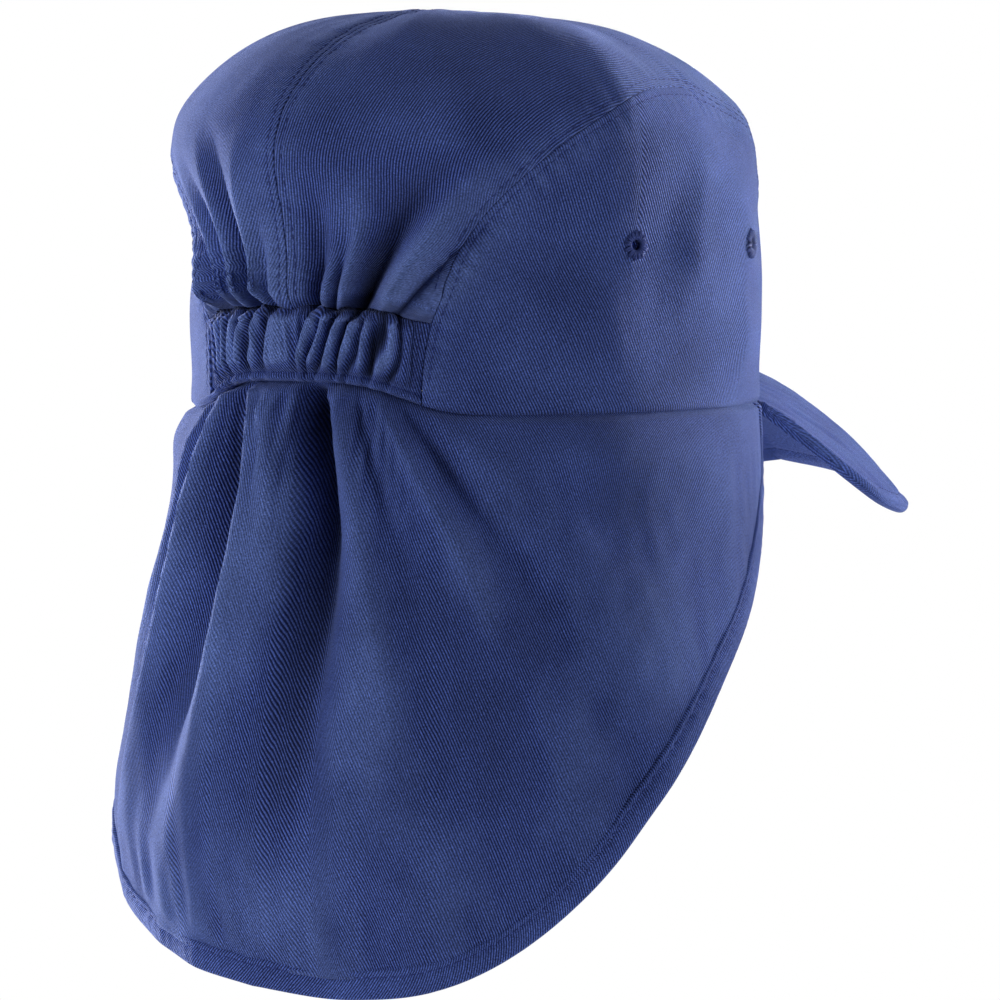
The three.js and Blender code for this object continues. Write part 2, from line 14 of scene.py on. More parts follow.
import bpy
import numpy as np
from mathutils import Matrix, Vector


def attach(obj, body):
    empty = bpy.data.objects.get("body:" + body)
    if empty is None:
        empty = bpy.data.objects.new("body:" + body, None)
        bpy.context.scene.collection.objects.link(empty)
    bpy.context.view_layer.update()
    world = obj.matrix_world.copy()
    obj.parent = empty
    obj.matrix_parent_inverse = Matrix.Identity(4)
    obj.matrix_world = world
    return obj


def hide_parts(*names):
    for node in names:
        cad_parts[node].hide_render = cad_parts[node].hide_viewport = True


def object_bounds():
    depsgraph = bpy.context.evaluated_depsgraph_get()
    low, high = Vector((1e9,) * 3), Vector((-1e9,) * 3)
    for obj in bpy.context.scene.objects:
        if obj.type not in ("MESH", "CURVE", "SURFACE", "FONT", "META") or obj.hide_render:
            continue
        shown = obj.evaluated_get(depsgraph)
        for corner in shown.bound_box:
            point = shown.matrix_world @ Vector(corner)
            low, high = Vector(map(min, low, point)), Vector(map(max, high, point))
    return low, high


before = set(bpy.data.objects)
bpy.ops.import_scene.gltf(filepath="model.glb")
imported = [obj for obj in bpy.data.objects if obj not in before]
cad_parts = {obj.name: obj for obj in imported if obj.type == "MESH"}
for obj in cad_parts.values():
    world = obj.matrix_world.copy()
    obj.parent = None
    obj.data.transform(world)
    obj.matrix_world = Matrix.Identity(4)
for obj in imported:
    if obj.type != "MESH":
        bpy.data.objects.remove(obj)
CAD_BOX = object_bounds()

Array = np.ndarray
log = logging.getLogger("cap")

MM = 0.001

# Share by which a fold's steep flank is narrower than its middle, and the other flank wider.
FOLD_LEAN = 0.38


class Side(Enum):
    """Side of the wearer that a piece belongs to."""

    LEFT = -1
    RIGHT = 1

    @property
    def word(self) -> str:
        """The side's name in a node's name."""
        return self.name.lower()


# Shared shape maths


def smooth(x: Array, low: float, high: float) -> Array:
    """Eases from 0 to 1 between two values.

    Args:
        x: The values.
        low: Where the result leaves 0.
        high: Where the result reaches 1.

    Returns:
        The eased shares.
    """
    t = np.clip((x - low) / (high - low), 0.0, 1.0)
    return t * t * (3 - 2 * t)


def hump(x: Array, width: float | Array, power: float = 2.0) -> Array:
    """A rounded hump of height 1 at zero.

    Args:
        x: Distances from the hump's middle.
        width: Half width of the hump.
        power: 2 for a soft hump, more for a flat top, less for a sharp crest.

    Returns:
        The hump's height at each distance.
    """
    return np.exp(-np.abs(x / width) ** power)


def leaning(x: Array, width: float | Array, depth: float, power: float) -> Array:
    """A fold's profile: crests are steep on their left in the picture, hollows on their right.

    Args:
        x: Distances from the fold's middle.
        width: Half width of the fold.
        depth: Height in mm, negative for a hollow.
        power: Sharpness, as in hump.

    Returns:
        The fold's height in mm.
    """
    lean = FOLD_LEAN * np.sign(depth) * np.sign(x)
    return depth * hump(x, width * (1 + lean), power)


def lerp(a: Array | float, b: Array | float, share: Array | float) -> Array:
    """Mixes two values by a share."""
    return a + (b - a) * share


def bent(low: float, middle: float, high: float, way: Array) -> Array:
    """A curve through three values, at the start, at half and at all of the way."""
    bend = 4 * middle - 3 * low - high
    return low + way * bend + way * way * (high - low - bend)


def unit(vectors: Array) -> Array:
    """Vectors scaled to a length of one."""
    shortest = 1e-9
    return vectors / np.maximum(np.linalg.norm(vectors, axis=-1, keepdims=True), shortest)


def table_value(rows: Sequence[Any], key: str, column: str, at: Array) -> Array:
    """Reads a table's column between its rows, on a smooth curve.

    Args:
        rows: Rows in growing order of the key.
        key: Name of the column that is looked up.
        column: Name of the column that is read.
        at: Places to read it at.

    Returns:
        The column's values there.
    """
    keys = np.array([getattr(row, key) for row in rows], float)
    values = np.array([getattr(row, column) for row in rows], float)
    slopes = np.empty_like(values)
    slopes[1:-1] = (values[2:] - values[:-2]) / (keys[2:] - keys[:-2])
    slopes[0] = (values[1] - values[0]) / (keys[1] - keys[0])
    slopes[-1] = (values[-1] - values[-2]) / (keys[-1] - keys[-2])
    at = np.clip(at, keys[0], keys[-1])
    i = np.clip(np.searchsorted(keys, at, side="right") - 1, 0, len(keys) - 2)
    span = keys[i + 1] - keys[i]
    t = (at - keys[i]) / span
    ends = lerp(values[i], values[i + 1], t * t * (3 - 2 * t))
    return ends + t * (1 - t) * span * ((1 - t) * slopes[i] - t * slopes[i + 1])


def crowded(stops: Sequence[tuple[float, float]]) -> Array:
    """Grid places whose spacing changes along a line.

    Args:
        stops: Pairs of a place and the spacing wanted there, in growing order of place.

    Returns:
        The places, the first and the last stop among them.
    """
    places = [np.array([stops[0][0]])]
    for (low, fine), (high, coarse) in zip(stops, stops[1:]):
        count = max(1, math.ceil((high - low) / ((fine + coarse) / 2)))
        t = np.arange(1, count + 1) / count
        ratio = fine / coarse
        places.append(low + (high - low) * (t * ratio + t * t * (1 - ratio) / 2) / ((1 + ratio) / 2))
    return np.concatenate(places)


@dataclass(frozen=True)
class Ripples:
    """Seeded smooth unevenness of cloth.

    Attributes:
        size: Length of a ripple in mm, across and along.
        seed: Seed of its pattern.
        count: Number of waves that are added up.
        pitches: Shortest and longest wave as shares of the size.
        variance: Mean square of the heights.
    """

    size: tuple[float, float]
    seed: int
    count: int = 14
    pitches: tuple[float, float] = (0.7, 1.6)
    variance: float = 0.7

    def at(self, u: Array, v: Array) -> Array:
        """Height of the ripples, mostly between -1 and 1.

        Args:
            u: Places across, in mm.
            v: Places along, in mm.

        Returns:
            The heights.
        """
        rng = np.random.default_rng(self.seed)
        total = np.zeros(np.broadcast(u, v).shape)
        for _ in range(self.count):
            turn, phase = rng.uniform(0, math.tau, 2)
            pitch = rng.uniform(*self.pitches)
            wave_u = math.cos(turn) * math.tau / (self.size[0] * pitch)
            wave_v = math.sin(turn) * math.tau / (self.size[1] * pitch)
            total = total + np.sin(wave_u * u + wave_v * v + phase)
        return total * math.sqrt(2 * self.variance / self.count)


# Mesh making


def grid_area(points: Array) -> float:
    """Area of a grid of points in square metres.

    Args:
        points: Points in mm, rows by columns.

    Returns:
        The grid's area.
    """
    a = points[1:, :-1] - points[:-1, :-1]
    b = points[:-1, 1:] - points[:-1, :-1]
    return float(np.linalg.norm(np.cross(a, b), axis=-1).sum()) * MM * MM


def steps_along(points: Array, axis: int) -> Array:
    """Distance travelled along a grid's lines, in mm.

    Args:
        points: Points in mm, rows by columns.
        axis: Axis of the grid to travel along.

    Returns:
        The distance at each point, from 0 at the first.
    """
    gap = np.linalg.norm(np.diff(points, axis=axis), axis=-1)
    start = np.zeros_like(np.take(gap, [0], axis=axis))
    return np.concatenate([start, np.cumsum(gap, axis=axis)], axis=axis)


def linked_mesh(name: str, points: Array, faces: list[list[int]]) -> Any:
    """Makes a smooth-shaded object.

    Args:
        name: Name of the object.
        points: Its points in mm, one row each.
        faces: Its faces as point numbers.

    Returns:
        The object, linked to the scene.
    """
    mesh = bpy.data.meshes.new(name)
    mesh.from_pydata((points * MM).tolist(), [], faces)
    mesh.validate()
    mesh.shade_smooth()
    mesh.update()
    obj = bpy.data.objects.new(name, mesh)
    bpy.context.scene.collection.objects.link(obj)
    return obj


def make_mesh(name: str, points: Array, faces: Array, flat: Array, wear_and_shading: Array) -> Any:
    """Makes a cloth object with what its weave needs.

    Args:
        name: Name of the object.
        points: Its points in mm, one row each.
        faces: Its quads as point numbers.
        flat: Each point's place on the flat cloth in mm.
        wear_and_shading: Each point's painted light and rubbing, negative in a hollow for painted shade and
            positive on a crest for rubbing with a painted highlight.

    Returns:
        The object, linked to the scene.
    """
    obj = linked_mesh(name, points, faces.tolist())
    mesh = obj.data
    layer = mesh.uv_layers.new(name="flat_cloth")
    loops = np.empty(len(mesh.loops), np.int32)
    mesh.loops.foreach_get("vertex_index", loops)
    layer.data.foreach_set("uv", flat[loops].astype(np.float32).ravel())
    attribute = mesh.attributes.new("wear_and_shading", "FLOAT", "POINT")
    attribute.data.foreach_set("value", wear_and_shading.astype(np.float32))
    mesh.update()
    return obj


def cloth_mesh(
    name: str,
    outer: Array,
    inner: Array,
    flat: Array,
    wear_and_shading: Array,
    kept: Array | None = None,
) -> Any:
    """Makes a closed cloth wall from two matching grids.

    Args:
        name: Name of the object.
        outer: Points of the outside in mm, rows by columns.
        inner: Points of the inside in mm.
        flat: Places on the flat cloth in mm.
        wear_and_shading: Painted light and shade of the outside, with rubbing on its crests.
        kept: Which cells of the grid there is cloth in, all of them by default.

    Returns:
        The object.
    """
    rows, columns = outer.shape[:2]
    kept = np.ones((rows - 1, columns - 1), bool) if kept is None else kept
    number = np.arange(rows * columns).reshape(rows, columns)
    corners = (number[:-1, :-1], number[:-1, 1:], number[1:, 1:], number[1:, :-1])
    below = rows * columns
    faces = [np.stack(corners, -1)[kept], np.stack(corners[::-1], -1)[kept] + below]
    framed = np.pad(kept, 1)
    for first, (down, right) in enumerate(((-1, 0), (0, 1), (1, 0), (0, -1))):
        beyond = framed[1 + down : rows + down, 1 + right : columns + right]
        bare = kept & ~beyond
        one, two = corners[first][bare], corners[(first + 1) % 4][bare]
        faces.append(np.stack([two, one, one + below, two + below], -1))
    points = np.concatenate([outer.reshape(-1, 3), inner.reshape(-1, 3)])
    used, faces = np.unique(np.concatenate(faces), return_inverse=True)
    points, faces = points[used], faces.reshape(-1, 4)
    first, second, third = (points[faces[:, k]] for k in range(3))
    if np.einsum("ij,ij->i", first, np.cross(second, third)).sum() < 0:
        faces = faces[:, ::-1]
    flats = np.concatenate([flat.reshape(-1, 2)] * 2)[used]
    wear_shadings = np.concatenate([wear_and_shading.ravel(), np.zeros(wear_and_shading.size)])[used]
    return make_mesh(name, points, faces, flats, wear_shadings)


def tube_mesh(name: str, tubes: list[Array]) -> Any:
    """Makes one object of many short closed tubes.

    Args:
        name: Name of the object.
        tubes: Each tube's points in mm, rings by sides by 3.

    Returns:
        The object.
    """
    faces: list[list[int]] = []
    start = 0
    for tube in tubes:
        count, sides = tube.shape[:2]
        number = start + np.arange(count * sides).reshape(count, sides)
        after = np.roll(number, -1, axis=1)
        faces += np.stack([number[:-1], after[:-1], after[1:], number[1:]], -1).reshape(-1, 4).tolist()
        faces += [number[0][::-1].tolist(), number[-1].tolist()]
        start += count * sides
    return linked_mesh(name, np.concatenate([tube.reshape(-1, 3) for tube in tubes]), faces)


def sweep(path: Array, beside: Array, above: Array, radii: Array, sides: int) -> Array:
    """Rings of a tube round a path.

    Args:
        path: Points of the path in mm.
        beside: Directions to one side of it.
        above: Directions upward from it.
        radii: The tube's radii in mm.
        sides: Number of its sides.

    Returns:
        The tube's points, rings by sides by 3.
    """
    turns = np.arange(sides)[:, None] * math.tau / sides
    ring = np.cos(turns) * beside[:, None] + np.sin(turns) * above[:, None]
    return path[:, None] + ring * radii[:, None, None]


@dataclass(frozen=True)
class StitchRow:
    """A row of lockstitch seen from outside: short threads that dip into the cloth at both ends.

    Attributes:
        pitch: Length of one stitch in mm.
        thread: Thickness of the thread in mm.
        gap: Share of the pitch that is the hole between two stitches.
        places: Places of the rings along a stitch, as shares of its length.
        lifts: Height of each ring above the cloth, as a share of the thread.
        girths: Thickness at each ring, as a share of the thread.
        sides: Number of sides of a thread.
    """

    pitch: float = 2.7
    thread: float = 0.32
    gap: float = 0.16
    places: tuple[float, ...] = (0.0, 0.18, 0.5, 0.82, 1.0)
    lifts: tuple[float, ...] = (-0.6, 0.0, 0.2, 0.0, -0.6)
    girths: tuple[float, ...] = (0.35, 0.9, 1.0, 0.9, 0.35)
    sides: int = 6

    def tubes(self, path: Array, normals: Array, closed_over: float = 0.0) -> list[Array]:
        """Threads along a path that lies on the cloth.

        Args:
            path: Points of the path in mm.
            normals: The cloth's outward normals there.
            closed_over: Length in mm that is left without stitches at each end.

        Returns:
            The rings of each stitch.
        """
        way = np.concatenate([[0], np.cumsum(np.linalg.norm(np.diff(path, axis=0), axis=1))])
        length = way[-1] - 2 * closed_over
        count = max(1, int(length / self.pitch))
        start = closed_over + (length - count * self.pitch) / 2
        lift = np.array(self.lifts)[:, None] * self.thread
        radii = np.array(self.girths) * self.thread / 2
        tubes = []
        for k in range(count):
            at = start + (k + self.gap / 2 + np.array(self.places) * (1 - self.gap)) * self.pitch
            middle = np.stack([np.interp(at, way, path[:, i]) for i in range(3)], -1)
            up = unit(np.stack([np.interp(at, way, normals[:, i]) for i in range(3)], -1))
            across = unit(np.cross(unit(np.gradient(middle, axis=0)), up))
            tubes.append(sweep(middle + up * lift, across, up, radii, self.sides))
        return tubes


# Materials


def linear(colour: str) -> tuple[float, float, float, float]:
    """Turns an sRGB hex colour to linear light.

    Args:
        colour: Six hex digits.

    Returns:
        Linear red, green, blue and an alpha of 1.
    """
    parts = [int(colour[i : i + 2], 16) / 255 for i in (0, 2, 4)]
    red, green, blue = (c / 12.92 if c <= 0.04045 else ((c + 0.055) / 1.055) ** 2.4 for c in parts)
    return red, green, blue, 1.0


def add(tree: Any, kind: str, values: dict[str | int, Any] | None = None, **settings: Any) -> Any:
    """Adds a node with its settings and links.

    Args:
        tree: Node tree that the node joins.
        kind: Blender's name of the node.
        values: Value or source socket for each input.
        **settings: Properties of the node.

    Returns:
        The node.
    """
    node = tree.nodes.new(kind)
    for name, setting in settings.items():
        setattr(node, name, setting)
    for socket, value in (values or {}).items():
        if isinstance(value, bpy.types.NodeSocket):
            tree.links.new(value, node.inputs[socket])
        else:
            node.inputs[socket].default_value = value
    return node


def new_material(name: str) -> tuple[Any, Any]:
    """Makes an empty node material.

    Args:
        name: Name of the material.

    Returns:
        The material and its node tree.
    """
    material = bpy.data.materials.new(name)
    material.use_nodes = True
    material.node_tree.nodes.clear()
    return material, material.node_tree


@dataclass(frozen=True)
class CottonTwill:
    """Washed cotton twill, piece-dyed navy.

    Steep diagonal ribs catch the light on one flank. Brushed fibre ends on them give a pale bloom at
    grazing angles, and the dye is a little uneven from washing. Fold crests are painted paler, partly for
    rubbing and partly as a painted highlight, and hollows are painted darker as painted shade.

    Attributes:
        name: Name of the material.
        dye: Colour of the ribs.
        shade: Colour between the ribs.
        rubbed_and_lit: Colour of the crests, paler for rubbing and as a painted highlight.
        rib: Spacing of the ribs in mm. Real ones are 0.6 mm apart, drawn wider so that they show.
        rib_angle: Angle of the ribs from the weft in degrees.
        relief: Height of the ribs in mm.
        sheen: Strength of the bloom.
    """

    name: str = "cotton_twill"
    dye: str = "4a60ac"
    shade: str = "141c48"
    rubbed_and_lit: str = "6075b2"
    rib: float = 0.86
    rib_angle: float = 64.0
    relief: float = 0.2
    sheen: float = 0.5

    def build(self) -> Any:
        """Makes the material.

        Returns:
            The Blender material.
        """
        material, tree = new_material(self.name)
        turn = math.radians(90 - self.rib_angle)
        flat = add(tree, "ShaderNodeUVMap", uv_map="flat_cloth").outputs[0]
        along = add(tree, "ShaderNodeMapping", {"Vector": flat, "Rotation": (0, 0, turn)}).outputs[0]
        wander = add(tree, "ShaderNodeTexNoise", {"Vector": along, "Scale": 0.12, "Detail": 3.0})
        split = add(tree, "ShaderNodeSeparateXYZ", {0: along})
        across = add(tree, "ShaderNodeMath", {0: wander.outputs[0], 1: 0.5, 2: split.outputs[0]},
                     operation="MULTIPLY_ADD")
        phase = add(tree, "ShaderNodeMath", {0: across.outputs[0], 1: math.tau / self.rib},
                    operation="MULTIPLY")
        wave = add(tree, "ShaderNodeMath", {0: phase.outputs[0]}, operation="SINE")
        rib = add(tree, "ShaderNodeMapRange", {0: wave.outputs[0], 1: -0.8, 2: 0.9},
                  interpolation_type="SMOOTHSTEP")

        # Yarn is thick and thin: streaks a rib wide and some millimetres long.
        stretched = add(tree, "ShaderNodeMapping",
                        {"Vector": along, "Scale": (1 / self.rib, 0.22, 1.0)}).outputs[0]
        slub = add(tree, "ShaderNodeTexNoise", {"Vector": stretched, "Scale": 0.8, "Detail": 2.0,
                                                "Roughness": 0.6})
        picks = add(tree, "ShaderNodeMapping",
                    {"Vector": along, "Scale": (1 / self.rib, 1.5, 1.0)}).outputs[0]
        pick = add(tree, "ShaderNodeTexNoise", {"Vector": picks, "Scale": 1.3, "Detail": 1.0})
        fuzz = add(tree, "ShaderNodeTexNoise", {"Vector": along, "Scale": 1.6, "Detail": 3.0,
                                                "Roughness": 0.75})
        fade = add(tree, "ShaderNodeTexNoise", {"Vector": flat, "Scale": 0.035, "Detail": 4.0})

        height = rib
        for part, share in ((slub, 0.5), (pick, 0.45), (fuzz, 0.9)):
            height = add(tree, "ShaderNodeMath", {0: part.outputs[0], 1: share, 2: height.outputs[0]},
                         operation="MULTIPLY_ADD")
        bump = add(tree, "ShaderNodeBump", {"Height": height.outputs[0], "Strength": 1.0,
                                            "Distance": self.relief * MM})

        ribs = add(tree, "ShaderNodeMix", {"Factor": rib.outputs[0], "A": linear(self.shade),
                                           "B": linear(self.dye)}, data_type="RGBA")
        # Painted light: crests go towards the paler crest colour, partly for rubbing and partly as a
        # painted highlight.
        wear_shading = add(tree, "ShaderNodeAttribute", attribute_name="wear_and_shading")
        crest = add(tree, "ShaderNodeMath", {0: fade.outputs[0], 1: 0.5, 2: wear_shading.outputs["Fac"]},
                    operation="MULTIPLY_ADD")
        crest = add(tree, "ShaderNodeMapRange", {0: crest.outputs[0], 1: 0.15, 2: 1.5, 3: 0.0, 4: 0.75})
        rubbed_and_lit = add(tree, "ShaderNodeMix", {"Factor": crest.outputs[0], "A": ribs.outputs["Result"],
                                             "B": linear(self.rubbed_and_lit)}, data_type="RGBA")
        uneven = add(tree, "ShaderNodeMath", {0: slub.outputs[0], 1: 0.7, 2: fade.outputs[0]},
                     operation="MULTIPLY_ADD")
        value = add(tree, "ShaderNodeMapRange", {0: uneven.outputs[0], 1: 0.45, 2: 1.25, 3: 0.74, 4: 1.24})
        fleck = add(tree, "ShaderNodeMapRange", {0: fuzz.outputs[0], 1: 0.3, 2: 0.7, 3: 0.5, 4: 1.55})
        dash = add(tree, "ShaderNodeMapRange", {0: pick.outputs[0], 1: 0.35, 2: 0.65, 3: 0.72, 4: 1.28})
        # Painted shade: hollows are darkened down to 0.15 of the colour.
        hollow = add(tree, "ShaderNodeMapRange",
                     {0: wear_shading.outputs["Fac"], 1: -2.0, 2: -0.1, 3: 0.15, 4: 1.0})
        for part in (fleck, dash, hollow):
            value = add(tree, "ShaderNodeMath", {0: value.outputs[0], 1: part.outputs[0]},
                        operation="MULTIPLY")
        shown = add(tree, "ShaderNodeHueSaturation", {"Value": value.outputs[0],
                                                      "Color": rubbed_and_lit.outputs["Result"]})
        skin = add(tree, "ShaderNodeBsdfPrincipled", {
            "Base Color": shown.outputs[0], "Roughness": 0.9, "IOR": 1.5, "Specular IOR Level": 0.15,
            "Sheen Weight": self.sheen, "Sheen Roughness": 0.4, "Sheen Tint": linear("98a8e2"),
            "Normal": bump.outputs[0]})
        add(tree, "ShaderNodeOutputMaterial", {"Surface": skin.outputs[0]})
        return material


@dataclass(frozen=True)
class SewingThread:
    """Spun polyester thread, dyed to match: a little glossier and darker than the cloth it lies in.

    Attributes:
        name: Name of the material.
        dye: Colour of the thread.
        twist: Spacing of the twist in mm, drawn at three times a real thread's so that it shows.
    """

    name: str = "sewing_thread"
    dye: str = "283470"
    twist: float = 0.6

    def build(self) -> Any:
        """Makes the material.

        Returns:
            The Blender material.
        """
        material, tree = new_material(self.name)
        place = add(tree, "ShaderNodeNewGeometry").outputs["Position"]
        strands = add(tree, "ShaderNodeTexNoise", {"Vector": place, "Scale": 1 / (self.twist * MM),
                                                   "Detail": 2.0})
        value = add(tree, "ShaderNodeMapRange", {0: strands.outputs[0], 1: 0.3, 2: 0.7, 3: 0.7, 4: 1.3})
        shown = add(tree, "ShaderNodeHueSaturation", {"Value": value.outputs[0],
                                                      "Color": linear(self.dye)})
        bump = add(tree, "ShaderNodeBump", {"Height": strands.outputs[0], "Strength": 0.6,
                                            "Distance": 0.1 * MM})
        skin = add(tree, "ShaderNodeBsdfPrincipled", {
            "Base Color": shown.outputs[0], "Roughness": 0.75, "IOR": 1.5, "Specular IOR Level": 0.2,
            "Normal": bump.outputs[0]})
        add(tree, "ShaderNodeOutputMaterial", {"Surface": skin.outputs[0]})
        return material


@dataclass(frozen=True)
class StudioPaper:
    """Matt white background paper: no gloss, a trace of fibre.

    Attributes:
        name: Name of the material.
        tone: Colour of the paper.
    """

    name: str = "studio_paper"
    tone: str = "f4f4f4"

    def build(self) -> Any:
        """Makes the material.

        Returns:
            The Blender material.
        """
        material, tree = new_material(self.name)
        place = add(tree, "ShaderNodeNewGeometry").outputs["Position"]
        fibre = add(tree, "ShaderNodeTexNoise", {"Vector": place, "Scale": 90.0, "Detail": 3.0})
        value = add(tree, "ShaderNodeMapRange", {0: fibre.outputs[0], 3: 0.985, 4: 1.0})
        shown = add(tree, "ShaderNodeHueSaturation", {"Value": value.outputs[0],
                                                      "Color": linear(self.tone)})
        skin = add(tree, "ShaderNodeBsdfPrincipled", {"Base Color": shown.outputs[0],
                                                      "Roughness": 0.95, "Specular IOR Level": 0.1})
        add(tree, "ShaderNodeOutputMaterial", {"Surface": skin.outputs[0]})
        return material


def place_piece(obj: Any, material: Any, nodes: Sequence[str] = ()) -> Any:
    """Dresses a piece and ties it to the frame.

    Args:
        obj: The piece.
        material: Its material.
        nodes: CAD nodes that it stands for.

    Returns:
        The piece.
    """
    obj.data.materials.append(material)
    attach(obj, "root")
    if nodes:
        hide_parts(*nodes)
    log.info("%s: %d faces", obj.name, len(obj.data.polygons))
    return obj


# The crown's form


@dataclass(frozen=True)
class CrownFold:
    """A fold that runs up the crown from the casing.

    Attributes:
        low: Angle at the casing.
        middle: Angle at half its height.
        high: Angle at its upper end.
        top: Height of its upper end above the rim in mm.
        width: Half width in degrees at the casing.
        depth: Height in mm, negative for a hollow.
        crest: Sharpness, 2 for soft and less for a sharp crest.
    """

    low: float
    middle: float
    high: float
    top: float
    width: float
    depth: float
    crest: float = 2.0


@dataclass(frozen=True)
class Seam:
    """A seam topstitched on both sides.

    Attributes:
        allowance: Height of the turned cloth beside it in mm.
        allowance_half: Half width of that cloth in mm.
        groove: Depth of the seam line in mm.
        row: Depth of the stitch rows' dents in mm.
        row_offset: Distance of the rows from the seam line in mm.
        pucker: Height of the puckers in mm.
        pucker_length: Length of a pucker along the seam in mm.
    """

    allowance: float = 0.3
    allowance_half: float = 8.5
    groove: float = 0.12
    row: float = 0.16
    row_offset: float = 2.3
    pucker: float = 0.17
    pucker_length: float = 4.2

    def relief(self, distance: Array, way: Array, seed: int) -> Array:
        """Relief of the seam.

        Args:
            distance: Distances beside the seam in mm.
            way: Distances along it in mm.
            seed: Seed of its puckers.

        Returns:
            Distances outward in mm.
        """
        beside = np.abs(distance)
        allowance = self.allowance * hump(distance, self.allowance_half, 4)
        groove = self.groove * hump(distance, 0.5)
        rows = self.row * hump(beside - self.row_offset, 0.6)
        ripples = Ripples((self.pucker_length, 60.0), seed).at(way, distance)
        return allowance - groove - rows + self.pucker * ripples * hump(beside - 3.5, 4.5)


@dataclass
class CrownForm:
    """The crown's outside, as in the solids, with finer folds, seams and puckers.

    Lengths are in mm and angles in degrees. Attributes that the solids don't have:

    Attributes:
        puff: How far the gathered cloth puffs out above the casing.
        nip: How deep the casing's upper edge nips it.
        nip_wander: How far that edge wanders up and down.
        fullness: Factor on every fold's height.
        fold_start: Share of a fold's height at the casing.
        fold_widening: How many times wider a fold is at its upper end.
        fold_fading: Power by which a fold fades upward.
        flank_draw_in: How far the cloth beside the casing is drawn in.
        shoulder: How far the crown stands out near its top, beside the nape.
        waist: How far it is drawn in below that.
        temple_corner: How far the turn from side to front stands out.
        temple_hollow: Depth of the hollow behind that turn.
        dents: Height of the soft dents.
        fine_dents: Height of the small dents.
        fold_wear_shading: Painted light and rubbing for a millimetre of fold: paler on crests, painted
            shade in hollows.
        seam_wear_shading: The same for a millimetre of seam.
    """

    head_length: float = 198.0
    head_width: float = 160.0
    crown_height: float = 117.0
    squareness: float = 4.3
    bulge: float = 3.0
    nape_bulge: float = 2.5
    top_fall: float = 8.0
    front_lowering: float = 9.0
    front_rim_rise: float = 13.0
    panel_cloth: float = 1.5
    seam_gap: float = 0.3
    arch_below_top: float = 17.5
    arch_middle: float = 93.0
    arch_half: float = 62.0
    casing_height: float = 25.5
    casing_draw_in: float = 8.0
    casing_rise: float = 9.5
    peak_root: float = 133.0
    seam: Seam = Seam()
    puff: float = 2.2
    nip: float = 1.5
    nip_wander: float = 0.75
    fullness: float = 1.55
    fold_start: float = 0.35
    fold_widening: float = 3.2
    fold_fading: float = 0.95
    flank_draw_in: float = 1.8
    shoulder: float = 2.4
    waist: float = 3.0
    temple_corner: float = 3.2
    temple_hollow: float = 1.2
    dents: float = 0.55
    fine_dents: float = 0.05
    fold_wear_shading: float = 0.24
    seam_wear_shading: float = 0.6
    folds: tuple[CrownFold, ...] = (
        CrownFold(-29.8, -38, -47, 46, 0.8, 1.4, 1.5),
        CrownFold(-28.2, -37, -46, 44, 0.6, -1.4, 1.7),
        CrownFold(-27, -42, -60, 78, 2.2, 2.6, 1.5),
        CrownFold(-24.6, -33, -40, 46, 0.7, 1.8, 1.5),
        CrownFold(-22.5, -36, -50, 76, 1.6, -3.6, 1.7),
        CrownFold(-18.5, -30, -42, 82, 1.9, 3.6, 1.4),
        CrownFold(-15.5, -25, -34, 80, 1.3, -4.6, 1.7),
        CrownFold(-12.8, -20.5, -27, 86, 1.9, 5.0, 1.35),
        CrownFold(-10.0, -15.5, -21, 88, 1.5, -7.6, 1.8),
        CrownFold(-7.4, -10.2, -10.5, 88, 1.9, 4.6, 1.35),
        CrownFold(-5.2, -6.6, -7, 66, 1.0, -3.2, 1.8),
        CrownFold(-2.6, -3.6, -2.5, 60, 1.2, 1.6, 1.6),
        CrownFold(6.2, 8.2, 7.5, 74, 1.6, -5.4, 1.8),
        CrownFold(8.6, 11.0, 13, 52, 1.1, 3.2, 1.5),
        CrownFold(10.4, 13.4, 15, 58, 0.9, -4.2, 1.8),
        CrownFold(13.0, 16.8, 19, 76, 1.7, 3.6, 1.5),
        CrownFold(17.2, 26, 38, 82, 2.3, -8.0, 1.8),
        CrownFold(22.4, 31.5, 46, 80, 2.1, 4.6, 1.5),
        CrownFold(25.6, 35, 48, 62, 1.1, -3.0, 1.8),
        CrownFold(28.4, 41, 52, 66, 1.8, 1.6, 1.6),
    )

    @property
    def half_length(self) -> float:
        """Half the crown's length."""
        return self.head_length / 2

    @property
    def half_width(self) -> float:
        """Half the crown's width."""
        return self.head_width / 2

    @property
    def arch_height(self) -> float:
        """Height of the arched seam's top above the rim."""
        return self.crown_height - self.arch_below_top

    @property
    def mm_per_degree(self) -> float:
        """Length of a degree round the head."""
        return math.radians((self.half_length + self.half_width) / 2)

    def bare(self, angle: Array, z: Array) -> Array:
        """Points of the plain form, without folds.

        Args:
            angle: Angles round the head in degrees.
            z: Heights above the rim.

        Returns:
            The points.
        """
        angle, z = np.broadcast_arrays(np.asarray(angle, float), np.asarray(z, float))
        share = np.maximum(1 - np.abs(z / self.crown_height) ** self.squareness, 0) ** (1 / self.squareness)
        turn = np.radians(angle)
        return np.stack([-self.half_width * share * np.sin(turn),
                         self.half_length * share * np.cos(turn), z], -1)

    def arch_distance(self, angle: Array, z: Array) -> Array:
        """Distance in mm outside the arched seam, negative on the side panel.

        Args:
            angle: Angles round the head in degrees.
            z: Heights above the rim.

        Returns:
            The distances.
        """
        across = (np.abs(angle) - self.arch_middle) / self.arch_half
        return (np.hypot(across, z / self.arch_height) - 1) * self.arch_height

    def arch_way(self, angle: Array, z: Array) -> Array:
        """Distance in mm along the arched seam from its foot at the nape.

        Args:
            angle: Angles round the head in degrees.
            z: Heights above the rim.

        Returns:
            The distances.
        """
        across = (self.arch_middle - np.abs(angle)) / self.arch_half
        return np.arctan2(z / self.arch_height, across) * self.arch_height

